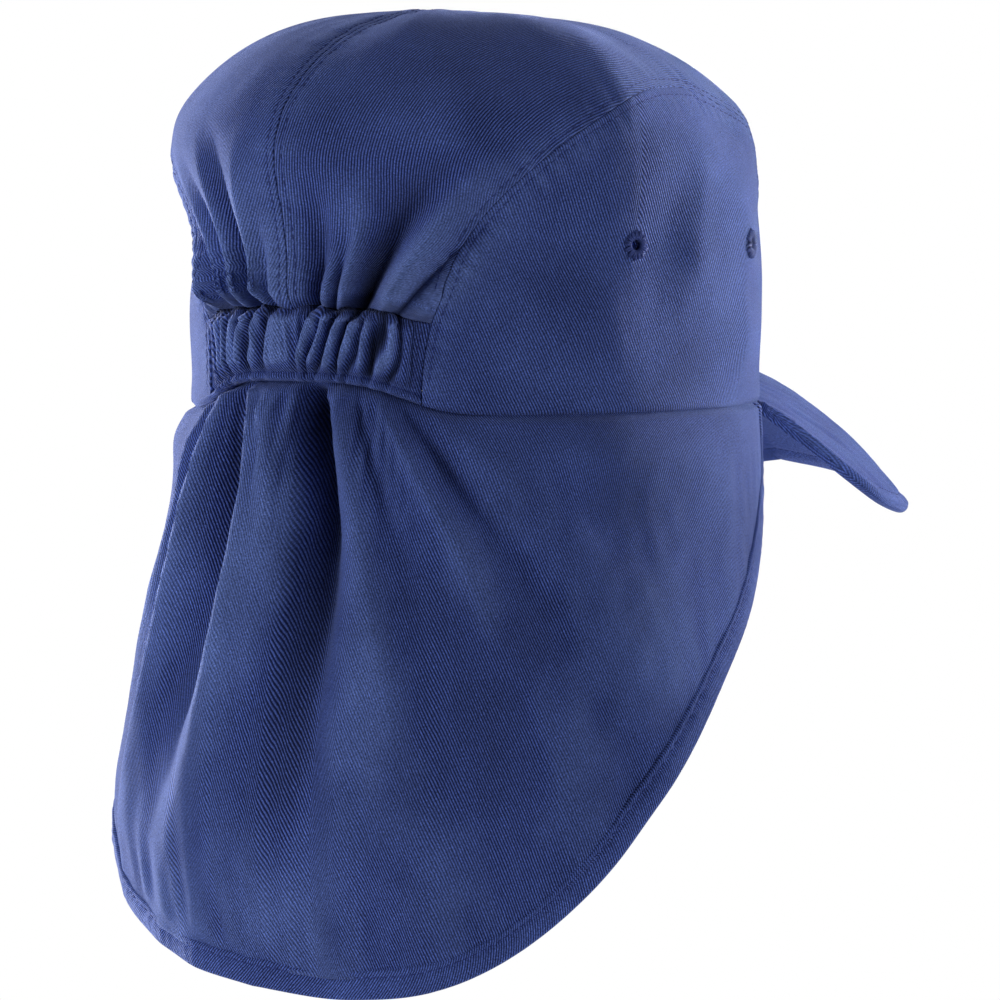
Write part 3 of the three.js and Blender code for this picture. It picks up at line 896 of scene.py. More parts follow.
    def arch_point(self, turn: Array, side: Side, outside: float) -> Array:
        """Points of the plain form on the arched seam.

        Args:
            turn: Places along the seam in radians, from 0 at the nape.
            side: Side of the wearer.
            outside: Distance outside the seam in mm.

        Returns:
            The points.
        """
        angle = self.arch_middle - (self.arch_half + outside / self.mm_per_degree) * np.cos(turn)
        return self.bare(side.value * angle, (self.arch_height + outside) * np.sin(turn))

    def fold_relief(self, angle: Array, z: Array) -> Array:
        """Swelling of the crown where the casing gathers it.

        Args:
            angle: Angles round the head in degrees.
            z: Heights above the rim.

        Returns:
            Distances outward in mm.
        """
        above = z - self.casing_height
        starting = lerp(self.fold_start, 1, smooth(above, -1, 7)) * smooth(above, -5, 0)
        total = np.zeros_like(above)
        for fold in self.folds:
            way = np.clip(above / (fold.top - self.casing_height), 0, 1)
            from_fold = angle - bent(fold.low, fold.middle, fold.high, way)
            width = fold.width * lerp(1, self.fold_widening, way)
            fade = (1 - way) ** self.fold_fading * starting
            total = total + fade * leaning(from_fold, width, self.fullness * fold.depth, fold.crest)
        puffed = smooth(above, -1, 10) * (1 - smooth(above, 10, 52)) * hump(angle, 38, 4)
        nipped = hump(above, 2.2) * hump(angle, 30, 8)
        return total + self.puff * puffed - self.nip * nipped

    def pinch(self, angle: Array, z: Array) -> Array:
        """Up and down wander of the cloth where the casing's upper edge pinches it.

        Args:
            angle: Angles round the head in degrees.
            z: Heights above the rim.

        Returns:
            Distances up in mm.
        """
        wander = Ripples((6.5, 60.0), 23).at(angle, 0 * angle)
        return self.nip_wander * wander * hump(z - self.casing_height, 6.0) * hump(angle, 29, 8)

    def temple(self, angle: Array, z: Array) -> Array:
        """Fuller corner of the crown at the temples, where the side turns to the front.

        Args:
            angle: Angles round the head in degrees.
            z: Heights above the rim.

        Returns:
            Distances outward in mm.
        """
        turned = np.abs(angle)
        corner = self.temple_corner * hump(turned - 106, 13, 1.6)
        hollow = self.temple_hollow * hump(turned - 84, 12)
        return (corner - hollow) * smooth(z, 0, 22) * (1 - smooth(z, 60, 92))

    def seam_relief(self, angle: Array, z: Array, x: Array, y: Array) -> Array:
        """Relief of the seams: a groove, a raised allowance, dented stitch rows and puckers.

        Args:
            angle: Angles round the head in degrees.
            z: Heights above the rim.
            x: Distances from the cap's middle.
            y: Distances towards the nape.

        Returns:
            Distances outward in mm.
        """
        above = smooth(z, self.casing_height - 2, self.casing_height + 6)
        arched = self.seam.relief(self.arch_distance(angle, z), self.arch_way(angle, z), 3)
        centre = self.seam.relief(x, np.arctan2(z, y) * self.half_length, 5)
        return smooth(z, 1, 8) * arched + above * centre

    def point(self, directions: Array) -> tuple[Array, Array, Array]:
        """Points of the folded form on rays from the origin.

        Args:
            directions: Directions of the rays.

        Returns:
            The points, their angles round the head, and their heights on the plain form.
        """
        d = unit(directions)
        flat = (d[..., 0] / self.half_width) ** 2 + (d[..., 1] / self.half_length) ** 2
        q = self.squareness
        size = flat ** (q / 2) + np.abs(d[..., 2] / self.crown_height) ** q
        p = d * (size ** (-1 / q))[..., None]
        x, y, z = p[..., 0], p[..., 1], p[..., 2]
        angle = np.degrees(np.arctan2(-x / self.half_width, y / self.half_length))
        height = z / self.crown_height
        outward = unit(np.stack([x / self.half_width**2, y / self.half_length**2, 0 * z], -1))
        steep = 1 - smooth(height, 0.75, 0.98)
        drawn = self.casing_draw_in * hump(angle, 52, 3) * (1 - smooth(height, 0.34, 0.68))
        flank = self.flank_draw_in * hump(np.abs(angle) - 64, 24) * (1 - smooth(z, 4, 40))
        corner = self.shoulder * hump(z - 92, 13) - self.waist * hump(z - 54, 17)
        drawn = drawn + flank - corner * hump(np.abs(angle) - 52, 24)
        fullest = self.bulge + self.nape_bulge * hump(angle, 75, 4)
        move = self.fold_relief(angle, z) * steep - drawn + fullest * hump(height - 0.74, 0.2)
        fall = self.top_fall * ((x / self.half_width) ** 2 + (y / self.half_length) ** 2)
        forward = smooth(-y / self.half_length, -0.35, 1)
        lowered = height**2 * (fall + self.front_lowering * forward)
        to_front = np.clip((180 - np.abs(angle)) / (180 - self.peak_root), 0, 1)
        rise = self.casing_rise * hump(angle, 30, 4) + self.front_rim_rise * (1 - to_front**2.5)
        points = p + outward * move[..., None]
        points[..., 2] += rise * (1 - smooth(z, 0, self.crown_height / 2)) - lowered
        return points, angle, z

    def normal(self, directions: Array) -> Array:
        """Outward normals of the folded form.

        Args:
            directions: Directions of the rays.

        Returns:
            The normals.
        """
        d = unit(directions)
        side = np.stack([d[..., 1], -d[..., 0], 0 * d[..., 0]], -1)
        upright = np.linalg.norm(side, axis=-1, keepdims=True) < 1e-4
        side = unit(np.where(upright, (1.0, 0.0, 0.0), side))
        up = unit(np.cross(side, d))
        step = 0.008
        along = [self.point(d + axis * step)[0] - self.point(d - axis * step)[0] for axis in (side, up)]
        normal = unit(np.cross(along[0], along[1]))
        return np.where(np.sum(normal * d, -1, keepdims=True) < 0, -normal, normal)

    def surface(self, directions: Array, lift: float = 0.0) -> tuple[Array, Array, Array]:
        """The finished outside, with its seams.

        Args:
            directions: Directions of the rays.
            lift: Distance outside the cloth in mm.

        Returns:
            The points, the normals and the painted light and shade, with rubbing on crests.
        """
        points, angle, z = self.point(directions)
        normal = self.normal(directions)
        seams = self.seam_relief(angle, z, points[..., 0], points[..., 1])
        around = angle * self.mm_per_degree
        dents = self.dents * Ripples((42.0, 46.0), 11).at(around, z)
        dents = dents + self.fine_dents * Ripples((11.0, 17.0), 12).at(around, z)
        off_top = smooth(np.hypot(points[..., 0], points[..., 1]), 12, 60)
        relief = seams + dents * smooth(z, 8, 30) * off_top + self.temple(angle, z)
        points = points + normal * (relief + lift)[..., None]
        points[..., 2] += self.pinch(angle, z)
        # The third value paints light into the colour: paler on fold crests and seam allowances, darker in
        # hollows and grooves.
        return points, normal, self.fold_wear_shading * self.fold_relief(angle, z) + self.seam_wear_shading * seams


# The crown's pieces


@dataclass
class CrownPanels:
    """The four panels of the crown.

    Attributes:
        form: Form of the crown.
        stitch: Stitches of its seams.
        grain: Turn of the weave on each centre panel in degrees.
        arch_end: Turn in radians by which the arched seam stops short of the rim.
        rim_roll: How far the side panel's rim rolls outward in mm.
        rim_tuck: How far its very edge turns inward in mm.
        crease: Height of the upright crease between the eyelets in mm.
    """

    form: CrownForm
    stitch: StitchRow = StitchRow()
    grain: dict[Side, float] = field(default_factory=lambda: {Side.LEFT: 0.0, Side.RIGHT: -20.0})
    arch_end: float = 0.012
    rim_roll: float = 0.35
    rim_tuck: float = 1.1
    crease: float = 1.2

    def centre_directions(self, way: Array, share: Array, side: Side) -> Array:
        """Directions over a centre panel.

        Args:
            way: Shares of the way from the casing over the top to the front.
            share: Shares of the way from the centre seam to the arched seam.
            side: Side of the wearer.

        Returns:
            Directions, a row for each way and a column for each share.
        """
        form = self.form
        low = form.bare(0.0, form.casing_height + form.seam_gap / 2)
        turn = lerp(math.atan2(low[2], low[1]), math.pi, way)
        middle = np.stack([0 * turn, np.cos(turn), np.sin(turn)], -1)
        reach = np.linalg.norm(form.point(middle)[0], axis=-1)
        middle[:, 0] = -side.value * form.seam_gap / 2 / reach
        casing = math.asin((form.casing_height + form.seam_gap / 2) / form.arch_height)
        arch_turn = lerp(casing, math.pi - self.arch_end, way)
        arch = unit(form.arch_point(arch_turn, side, form.seam_gap / 2))
        return lerp(middle[:, None], arch[:, None], share[None, :, None])

    def centre_panel(self, side: Side) -> Any:
        """Builds the centre panel of one side.

        Args:
            side: Side of the wearer.

        Returns:
            The panel.
        """
        ways = crowded(((0, 0.0016), (0.12, 0.0028), (0.6, 0.0042), (0.97, 0.0042), (1, 0.002)))
        shares = crowded(((0, 0.006), (0.1, 0.012), (0.5, 0.02), (0.88, 0.013), (1, 0.006)))
        directions = self.centre_directions(ways, shares, side)
        outer, normal, wear_shading = self.form.surface(directions)
        inner = outer - normal * self.form.panel_cloth
        down = steps_along(outer[:, :1], 0)
        across = steps_along(outer, 1) * side.value
        grain = math.radians(self.grain[side])
        down = np.broadcast_to(down, across.shape)
        flat = np.stack([across * math.cos(grain) - down * math.sin(grain),
                         across * math.sin(grain) + down * math.cos(grain)], -1)
        return cloth_mesh(f"crown_centre_{side.word}", outer, inner, flat, wear_shading)

    def side_panel(self, side: Side, holes: Array, hole: float) -> Any:
        """Builds the side panel of one side.

        Args:
            side: Side of the wearer.
            holes: Middles of its eyelet holes in mm.
            hole: Radius of the holes in the cloth in mm.

        Returns:
            The panel.
        """
        form = self.form
        end = self.arch_end
        turns = crowded(((end, 0.008), (0.5, 0.0095), (math.pi - 0.5, 0.0095), (math.pi - end, 0.008)))
        shares = np.sin(crowded(((0, 0.004), (0.03, 0.008), (0.12, 0.016), (1, 0.02))) * math.pi / 2)
        gap = form.seam_gap / 2
        angle = form.arch_middle - (form.arch_half - gap / form.mm_per_degree) * np.cos(turns)
        top = (form.arch_height - gap) * np.sin(turns)
        angle, z = angle[:, None], shares[None] * top[:, None]
        directions = form.bare(side.value * angle, z)
        outer, normal, wear_shading = form.surface(directions)
        rim = self.rim_roll * hump(z, 7.0, 4) - self.rim_tuck * (1 - smooth(z, 0, 1.8)) ** 2
        crease = self.crease * hump(np.abs(angle) - (88 + 0.05 * z), 4.5, 1.7)
        crease = crease * smooth(z, 24, 48) * (1 - smooth(z, 66, 92))
        outer = outer + normal * (rim + crease)[..., None]
        kept = np.ones((len(turns) - 1, len(shares) - 1), bool)
        middle = (outer[1:, 1:] + outer[:-1, :-1]) / 2
        for place in holes:
            kept &= np.linalg.norm(middle - place, axis=-1) > hole
            away = outer - place
            distance = np.linalg.norm(away, axis=-1, keepdims=True)
            near = distance < hole * 1.3
            outer = np.where(near, place + away / distance * np.maximum(distance, hole), outer)
        inner = outer - normal * form.panel_cloth
        across = np.broadcast_to(angle * form.mm_per_degree, z.shape)
        flat = np.stack([across * side.value, -steps_along(outer, 1)], -1)
        return cloth_mesh(f"crown_side_{side.word}", outer, inner, flat, wear_shading, kept)

    def seam_rows(self, side: Side) -> Any:
        """Sews the stitch rows of one side's arched seam and of its half of the centre seam.

        Args:
            side: Side of the wearer.

        Returns:
            The stitches.
        """
        form = self.form
        offset = form.seam.row_offset
        tubes = []
        turns = np.linspace(0.05, math.pi - 0.05, 500)
        for outside, start in ((-offset, turns[0]), (offset, 0.33)):
            path = form.arch_point(turns[turns >= start], side, outside)
            points, normal, _ = form.surface(path)
            tubes += self.stitch.tubes(points, normal, 2)
        ways = np.linspace(0.01, 0.995, 600)
        directions = self.centre_directions(ways, np.array([0.0]), side)[:, 0]
        reach = np.linalg.norm(form.point(directions)[0], axis=-1)
        directions[:, 0] = -side.value * offset / reach
        points, normal, _ = form.surface(directions)
        tubes += self.stitch.tubes(points, normal, 1)
        return tube_mesh(f"crown_stitches_{side.word}", tubes)

    def build(self, cloth: Any, thread: Any, holes: dict[Side, Array], hole: float) -> None:
        """Builds and dresses all four panels and their stitches.

        Args:
            cloth: Material of the cloth.
            thread: Material of the thread.
            holes: Middles of the eyelet holes of each side.
            hole: Radius of the holes in mm.
        """
        for side in Side:
            place_piece(self.centre_panel(side), cloth, [f"centre_panel_{side.word}"])
            place_piece(self.side_panel(side, holes[side], hole), cloth,
                        [f"side_panel_{side.word}"])
            place_piece(self.seam_rows(side), thread)


@dataclass(frozen=True)
class ThreadRow:
    """A place on an eyelet's stitch, from inside the hole to the outer end.

    Attributes:
        share: Share of the way from the hole's edge to the eyelet's.
        out: Distance further out in mm.
        up: Height above the cloth in mm.
        turned: Share of the stitch's slant.
        radius: Radius of the thread in mm.
    """

    share: float
    out: float
    up: float
    turned: float
    radius: float


@dataclass
class Eyelets:
    """Worked eyelets: radial stitches over the edge of a hole.

    Attributes:
        form: Form of the crown.
        outer: Width of an eyelet in mm.
        hole: Width of its hole in mm.
        barrel: Width of the hole in the cloth in mm.
        height: Height above the rim in mm.
        angles: Angle round the head of each.
        stitches: Number of stitches round it.
        sides: Number of sides of a thread.
        rows: Places along a stitch.
    """

    form: CrownForm
    outer: float = 9.0
    hole: float = 3.2
    barrel: float = 5.0
    height: float = 50.0
    angles: dict[str, float] = field(default_factory=lambda: {"back": 75.0, "front": 108.0})
    stitches: int = 26
    sides: int = 7
    rows: tuple[ThreadRow, ...] = (
        ThreadRow(0, 0.25, -1.3, 0, 0.2),
        ThreadRow(0, 0, -0.6, 0, 0.26),
        ThreadRow(0, 0.1, 0.2, 0, 0.3),
        ThreadRow(0, 0.6, 0.62, 0, 0.34),
        ThreadRow(0.6, 0, 0.55, 0.5, 0.4),
        ThreadRow(1, -0.25, 0.2, 1, 0.38),
        ThreadRow(1, 0, -0.45, 1, 0.2),
    )

    def place(self, angle: float, side: Side) -> tuple[Array, Array]:
        """Middle of an eyelet and the cloth's normal there.

        Args:
            angle: Angle round the head in degrees.
            side: Side of the wearer.

        Returns:
            The point in mm and the normal.
        """
        points, normal, _ = self.form.surface(self.form.bare(side.value * angle, self.height)[None])
        return points[0], normal[0]

    def holes(self) -> dict[Side, Array]:
        """Middles of the eyelets of each side."""
        return {side: np.array([self.place(a, side)[0] for a in self.angles.values()]) for side in Side}

    def ring(self, name: str, point: Array, normal: Array, seed: int) -> Any:
        """Builds one eyelet.

        Args:
            name: Name of the piece.
            point: Its middle in mm.
            normal: The cloth's normal.
            seed: Seed of its uneven stitches.

        Returns:
            The eyelet.
        """
        rng = np.random.default_rng(seed)
        across = unit(np.cross(normal, (0.0, 0.0, 1.0)))
        up = np.cross(across, normal)
        low = self.hole / 2
        radii = np.array([row.radius for row in self.rows])
        tubes = []
        for k in range(self.stitches):
            turn = (k + rng.uniform(-0.18, 0.18)) * math.tau / self.stitches
            radial = math.cos(turn) * across + math.sin(turn) * up
            reach = self.outer / 2 + rng.uniform(-0.45, 0.15)
            slanted = turn + rng.uniform(-0.12, 0.12)
            swing = math.cos(slanted) * across + math.sin(slanted) * up
            path = np.array([
                point + lerp(radial, swing, row.turned) * (lerp(low, reach, row.share) + row.out)
                + normal * row.up
                for row in self.rows
            ])
            ahead = unit(np.gradient(path, axis=0))
            beside = unit(np.cross(ahead, normal[None]))
            tubes.append(sweep(path, beside, np.cross(beside, ahead), radii, self.sides))
        return tube_mesh(name, tubes)

    def build(self, thread: Any) -> None:
        """Builds and dresses every eyelet.

        Args:
            thread: Material of the thread.
        """
        for side in Side:
            for seed, (word, angle) in enumerate(self.angles.items()):
                point, normal = self.place(angle, side)
                name = f"eyelet_{side.word}_{word}"
                piece = self.ring(f"{name}_thread", point, normal, 20 + seed + side.value)
                place_piece(piece, thread, [name])


@dataclass(frozen=True)
class CasingRib:
    """A gather of the casing.

    Attributes:
        low: Angle at the lower edge.
        middle: Angle at half the height.
        high: Angle at the upper edge.
        width: Half width in degrees.
        height: Height in mm.
    """

    low: float
    middle: float
    high: float
    width: float
    height: float


@dataclass
class ElasticCasing:
    """The gathered casing at the nape.

    Attributes:
        form: Form of the crown.
        thickness: Thickness of the casing with its elastic in mm.
        stitched_at: Share of its height where the stitch row runs.
        ends_at: Share of its half width where the rows at its ends run.
        broad: Factor on every gather's width.
        plump: Factor on every gather's height.
        band: Height of the band below the stitch row in mm.
        groove: Depth of the stitch row's groove in mm.
        stitch: Its stitches.
        ribs: Its gathers.
    """

    form: CrownForm
    thickness: float = 2.6
    stitched_at: float = 0.1
    ends_at: float = 0.95
    broad: float = 1.35
    plump: float = 1.15
    band: float = 0.55
    groove: float = 0.7
    stitch: StitchRow = StitchRow(pitch=2.2)
    ribs: tuple[CasingRib, ...] = (
        CasingRib(-29.4, -29, -28.6, 0.5, 1.6),
        CasingRib(-27.7, -27.4, -27, 0.55, 2.2),
        CasingRib(-26, -25.8, -25.2, 0.6, 2.8),
        CasingRib(-24.2, -23.8, -23.4, 0.7, 3.2),
        CasingRib(-22, -21.2, -20.8, 0.9, 3.4),
        CasingRib(-18.6, -18.4, -17, 1.0, 3.4),
        CasingRib(-15.4, -15.8, -11.6, 1.0, 3.6),
        CasingRib(-12, -11, -8.4, 1.2, 3.2),
        CasingRib(-5.5, -4.6, -1.6, 3.8, 3.6),
        CasingRib(1.4, 3.4, 6.8, 1.4, 3.5),
        CasingRib(5, 6.8, 9.6, 0.95, 3.2),
        CasingRib(8.2, 10, 13, 1.1, 3.8),
        CasingRib(12.2, 14.2, 17, 1.2, 3.6),
        CasingRib(15.8, 17.6, 19.4, 1.0, 3.0),
        CasingRib(20.2, 22.8, 22.8, 1.2, 3.8),
        CasingRib(25.2, 26.8, 26.6, 1.2, 2.8),
        CasingRib(29, 29.4, 29.6, 1.5, 1.5),
    )

    def gather_relief(self, across: Array, up: Array) -> Array:
        """Irregular gathers with rounded crests and sharp hollows.

        Args:
            across: Shares of the half width, from -1 to 1.
            up: Shares of the height.

        Returns:
            Distances outward in mm.
        """
        angle = across * (self.form.arch_middle - self.form.arch_half)
        angle = angle + 0.5 * Ripples((7.0, 1.1), 7).at(angle, up)
        crests = np.zeros_like(angle * up)
        for rib in self.ribs:
            from_rib = angle - bent(rib.low, rib.middle, rib.high, up)
            crest = leaning(from_rib, self.broad * rib.width, self.plump * rib.height, 2.2)
            crests = np.maximum(crests, crest)
        fine = 0.18 * Ripples((1.6, 0.8), 19).at(angle, up)
        full = smooth(up, self.stitched_at, self.stitched_at + 0.2) * (1 - smooth(up, 0.84, 1.0))
        ends = 1 - np.abs(across) ** 9
        band = self.band * hump(up - self.stitched_at / 2, self.stitched_at * 0.42, 4)
        groove = self.groove * hump(up - self.stitched_at, 0.03)
        lower_roll = 0.9 * (1 - smooth(up, 0, 0.05)) ** 2
        upper_roll = 1.4 * smooth(up, 1.0, 1.03)
        return (crests + fine) * lerp(0.4, 1, full) * ends + band - groove - lower_roll - 0.2 - upper_roll

    def grid(self, across: Array, up: Array, lift: float) -> tuple[Array, Array]:
        """Points of the casing.

        Args:
            across: Shares of the half width, from -1 to 1.
            up: Shares of the height.
            lift: Distance outside its surface in mm.

        Returns:
            The points and their level normals.
        """
        form = self.form
        z = up * (form.casing_height - form.seam_gap / 2)
        turn = np.arcsin(np.clip(z / form.arch_height, 0, 1))
        half = form.arch_middle - (form.arch_half + form.seam_gap / 2 / form.mm_per_degree) * np.cos(turn)
        directions = form.bare(across * half, z)
        points = form.point(directions)[0]
        level = unit(form.normal(directions) * (1.0, 1.0, 0.0))
        points = points + level * (self.gather_relief(across, up) + lift)[..., None]
        points[..., 2] += form.pinch(across * half, z)
        return points, level

    def build(self, cloth: Any, thread: Any) -> None:
        """Builds and dresses the casing and its stitches.

        Args:
            cloth: Material of the cloth.
            thread: Material of the thread.
        """
        across = np.linspace(-1, 1, 441)[None]
        up = np.linspace(0, 1.06, 67)[:, None]
        across, up = np.broadcast_arrays(across, up)
        outer, level = self.grid(across, up, 0.0)
        relief = self.gather_relief(across, up)
        inner = outer - level * (relief + self.thickness)[..., None]
        middle_row = 30
        flat = np.stack([steps_along(outer[middle_row : middle_row + 1], 1) + 0 * up,
                         -steps_along(outer, 0)], -1)
        # Painted light and shade: the gathers are painted darker in their hollows and paler on their
        # crests, partly as rubbing and partly as a highlight.
        gathered = smooth(up, 0.06, 0.2) * (1 - across**8)
        wear_shading = gathered * (relief - 2.1)
        casing = cloth_mesh("casing_cloth", outer, inner, flat, wear_shading)
        place_piece(casing, cloth, ["elastic_casing"])
        ways = np.linspace(-0.97, 0.97, 700)
        points, normal = self.grid(ways, np.full_like(ways, self.stitched_at), 0.05)
        tubes = self.stitch.tubes(points, normal, 1)
        for end in (-self.ends_at, self.ends_at):
            ups = np.linspace(0.06, 0.95, 80)
            points, normal = self.grid(np.full_like(ups, end), ups, 0.0)
            tubes += self.stitch.tubes(points, normal, 0.5)
        place_piece(tube_mesh("casing_stitches", tubes), thread)


# The flap


@dataclass(frozen=True)
class FlapFold:
    """A fold of the flap that starts below the casing.

    Attributes:
        path: Angles at the rim, and at 0.1, 0.3, 0.6 and all of the drop.
        top_width: Half width in degrees at the rim.
        hem_width: Half width in degrees at the hem.
        deepest: Share of the drop where it is fullest.
        depth: Height in mm, negative for a hollow.
        left: Share of its height that is left at the hem.
        crest: Sharpness, 2 for soft and less for a sharp crest.
    """

    path: tuple[float, float, float, float, float]
    top_width: float
    hem_width: float
    deepest: float
    depth: float
    left: float = 0.2
    crest: float = 2.0


@dataclass(frozen=True)
class PathRow:
    """A fold's angle at a share of the drop."""

    depth: float
    angle: float


@dataclass(frozen=True)
class FlareRow:
    """How far the flap stands out at a share of its drop, as a share of its flare."""

    depth: float
    out: float


@dataclass(frozen=True)
class HemRow:
    """The hem's angle and drop as shares, at a share of the way round."""

    way: float
    angle: float
    drop: float


@dataclass
class FlapForm:
    """The flap's outside.

    Attributes:
        crown: Form of the crown that it hangs from.
        drop: Length from the rim to the hem at the nape in mm.
        flap_to_peak: Angle between its front edge and the peak's root.
        flare: How far it stands out at the nape in mm.
        swing: How much longer it is on the wearer's right in mm.
        cloth: Thickness of its cloth in mm.
        emerging: Length below the rim over which it comes out from under the crown, in mm.
        lip: How far it stands out below the rim beside the nape, in mm.
        casing_thickness: Thickness of the casing that it is sewn under in mm.
        clearance: Gap to its neighbours in mm.
        fold_stops: Shares of the drop at which a fold's path gives its angle.
        fades_by: Share of the drop where a fold has faded.
        folds: Its folds.
        flare_rows: Its flare on the way down.
        hem_rows: Its hem on the way round.
    """

    crown: CrownForm
    drop: float = 164.0
    flap_to_peak: float = 3.0
    flare: float = 28.0
    swing: float = 14.0
    cloth: float = 1.3
    emerging: float = 2.5
    lip: float = 2.0
    casing_thickness: float = 2.6
    clearance: float = 0.3
    fold_stops: tuple[float, ...] = (0.0, 0.1, 0.3, 0.6, 1.0)
    fades_by: float = 0.88
    folds: tuple[FlapFold, ...] = (
        FlapFold((-29, -34, -40, -46, -54), 2.6, 9, 0.12, 4.0, 0.0, 1.5),
        FlapFold((-25.5, -29, -33, -39, -47), 2.0, 7, 0.12, -4.0, 0.1),
        FlapFold((-21.5, -23, -26, -33, -42), 2.6, 8.5, 0.2, 8.0, 0.08, 1.35),
        FlapFold((-15, -13.5, -13, -19, -32), 2.4, 8, 0.14, -9.5, 0.06, 1.8),
        FlapFold((-11.2, -7, -6, -10.5, -26), 2.4, 9.5, 0.26, 9.5, 0.1, 1.35),
        FlapFold((-7.5, -2.5, 2, 3, 3), 1.8, 6, 0.06, 1.8, 0.0, 1.6),
        FlapFold((-9.6, -5.0, -3, -3, -3), 1.3, 5, 0.06, -1.6, 0.0),
        FlapFold((0.5, 3, 5, 4, 3), 1.4, 5, 0.06, 2.6, 0.0, 1.5),
        FlapFold((6.5, 9.2, 12.0, 10.5, 8), 2.9, 9, 0.06, -16.0, 0.0, 2.2),
        FlapFold((12.5, 15.5, 21, 27, 30), 2.2, 12, 0.12, 6.5, 0.2, 1.5),
        FlapFold((16.4, 20, 27, 34, 40), 1.3, 8, 0.06, -3.6, 0.0),
        FlapFold((20.5, 29, 41, 54, 62), 1.7, 11, 0.1, 4.2, 0.15, 1.4),
        FlapFold((24.5, 36, 50, 62, 70), 2.0, 12, 0.1, -4.2, 0.1),
        FlapFold((31, 46, 62, 74, 84), 3.0, 13, 0.16, 1.6, 0.1),
        FlapFold((-4, -4, -4, -7, -12), 3.0, 9, 0.85, 2.4, 1.0),
        FlapFold((30, 36, 44, 50, 56), 3.0, 14, 0.85, -2.4, 1.0),
    )
    flare_rows: tuple[FlareRow, ...] = (
        FlareRow(0, 0),
        FlareRow(0.06, 0.16),
        FlareRow(0.2, 0.3),
        FlareRow(0.42, 0.62),
        FlareRow(0.62, 0.9),
        FlareRow(0.75, 0.98),
        FlareRow(0.87, 0.87),
        FlareRow(1, 0.68),
    )
    hem_rows: tuple[HemRow, ...] = (
        HemRow(0, 0, 1),
        HemRow(0.15, 0.15, 0.988),
        HemRow(0.3, 0.29, 0.94),
        HemRow(0.43, 0.42, 0.825),
        HemRow(0.56, 0.55, 0.63),
        HemRow(0.68, 0.68, 0.455),
        HemRow(0.8, 0.82, 0.31),
        HemRow(0.9, 0.93, 0.19),
        HemRow(0.96, 0.985, 0.105),
        HemRow(1, 1, 0.008),
    )

    @property
    def front(self) -> float:
        """Angle of the flap's front edges."""
        return self.crown.peak_root - self.flap_to_peak

    def hem(self, way: Array) -> tuple[Array, Array]:
        """Where the hem is.

        Args:
            way: Shares of the way round, from -1 on the wearer's left to 1.

        Returns:
            The angles and the heights.
        """
        share = np.abs(way)
        angle = np.sign(way) * self.front * table_value(self.hem_rows, "way", "angle", share)
        fall = self.drop + self.swing * np.sin(np.radians(angle))
        return angle, -fall * table_value(self.hem_rows, "way", "drop", share)

    def inside_hem(self, way: Array, inward: Array | float) -> tuple[Array, Array]:
        """Places a distance inside the hem, measured square to it.

        Args:
            way: Shares of the way round.
            inward: Distances in mm.

        Returns:
            The angles and the heights.
        """
        scale = self.crown.mm_per_degree
        angle, z = self.hem(way)
        before, after = (self.hem(np.clip(way + step, -1, 1)) for step in (-0.01, 0.01))
        run = unit(np.stack([(after[0] - before[0]) * scale, after[1] - before[1]], -1))
        return angle - run[..., 1] * inward / scale, np.minimum(z + run[..., 0] * inward, -self.clearance)

    def fold_relief(self, angle: Array, depth: Array) -> Array:
        """The folds' relief.

        Args:
            angle: Angles round the head in degrees.
            depth: Shares of the drop.

        Returns:
            Distances outward in mm.
        """
        total = np.zeros(np.broadcast(angle, depth).shape)
        for fold in self.folds:
            rows = [PathRow(share, value) for share, value in zip(self.fold_stops, fold.path)]
            middle = table_value(rows, "depth", "angle", depth)
            width = lerp(fold.top_width, fold.hem_width, np.maximum(depth, 0) ** 0.7)
            grow = lerp(0.4, 1, smooth(depth, 0, fold.deepest))
            fade = lerp(1, fold.left, smooth(depth, fold.deepest, self.fades_by))
            total = total + grow * fade * leaning(angle - middle, width, fold.depth, fold.crest)
        return total * smooth(depth, 0.0, 0.015)

    def point(self, angle: Array, z: Array) -> Array:
        """Points of the flap's outside.

        Args:
            angle: Angles round the head in degrees.
            z: Heights below the rim.

        Returns:
            The points.
        """
        crown = self.crown
        angle, z = np.broadcast_arrays(np.asarray(angle, float), np.asarray(z, float))
        rim = crown.point(crown.bare(angle, 0.0))[0]
        turn = np.radians(angle)
        outward = np.stack([-np.sin(turn), np.cos(turn), 0 * turn], -1)
        depth = np.clip(-z / self.drop, 0, 1.1)
        back = np.maximum(np.cos(np.clip(np.abs(angle) / self.front, 0, 1) * math.pi / 2), 0) ** 0.8
        flare = self.flare * back * table_value(self.flare_rows, "depth", "out", depth)
        casing = hump(angle, crown.arch_middle - crown.arch_half + 8, 6)
        inside = lerp(crown.panel_cloth, self.casing_thickness, casing) + 2 * self.clearance
        tucked = inside * (1 - smooth(-z, 0, self.emerging))
        lip = self.lip * hump(-z - 9, 9) * hump(np.abs(angle) - 60, 22)
        points = rim + outward * (flare + lip - tucked + self.fold_relief(angle, depth))[..., None]
        points[..., 2] = z + rim[..., 2] * (1 - depth)
        return points

    def normal(self, angle: Array, z: Array) -> Array:
        """Outward normals of the flap.

        Args:
            angle: Angles round the head in degrees.
            z: Heights below the rim.

        Returns:
            The normals.
        """
        across = self.point(angle + 0.4, z) - self.point(angle - 0.4, z)
        down = self.point(angle, z - 0.5) - self.point(angle, z + 0.5)
        return unit(np.cross(down, across))


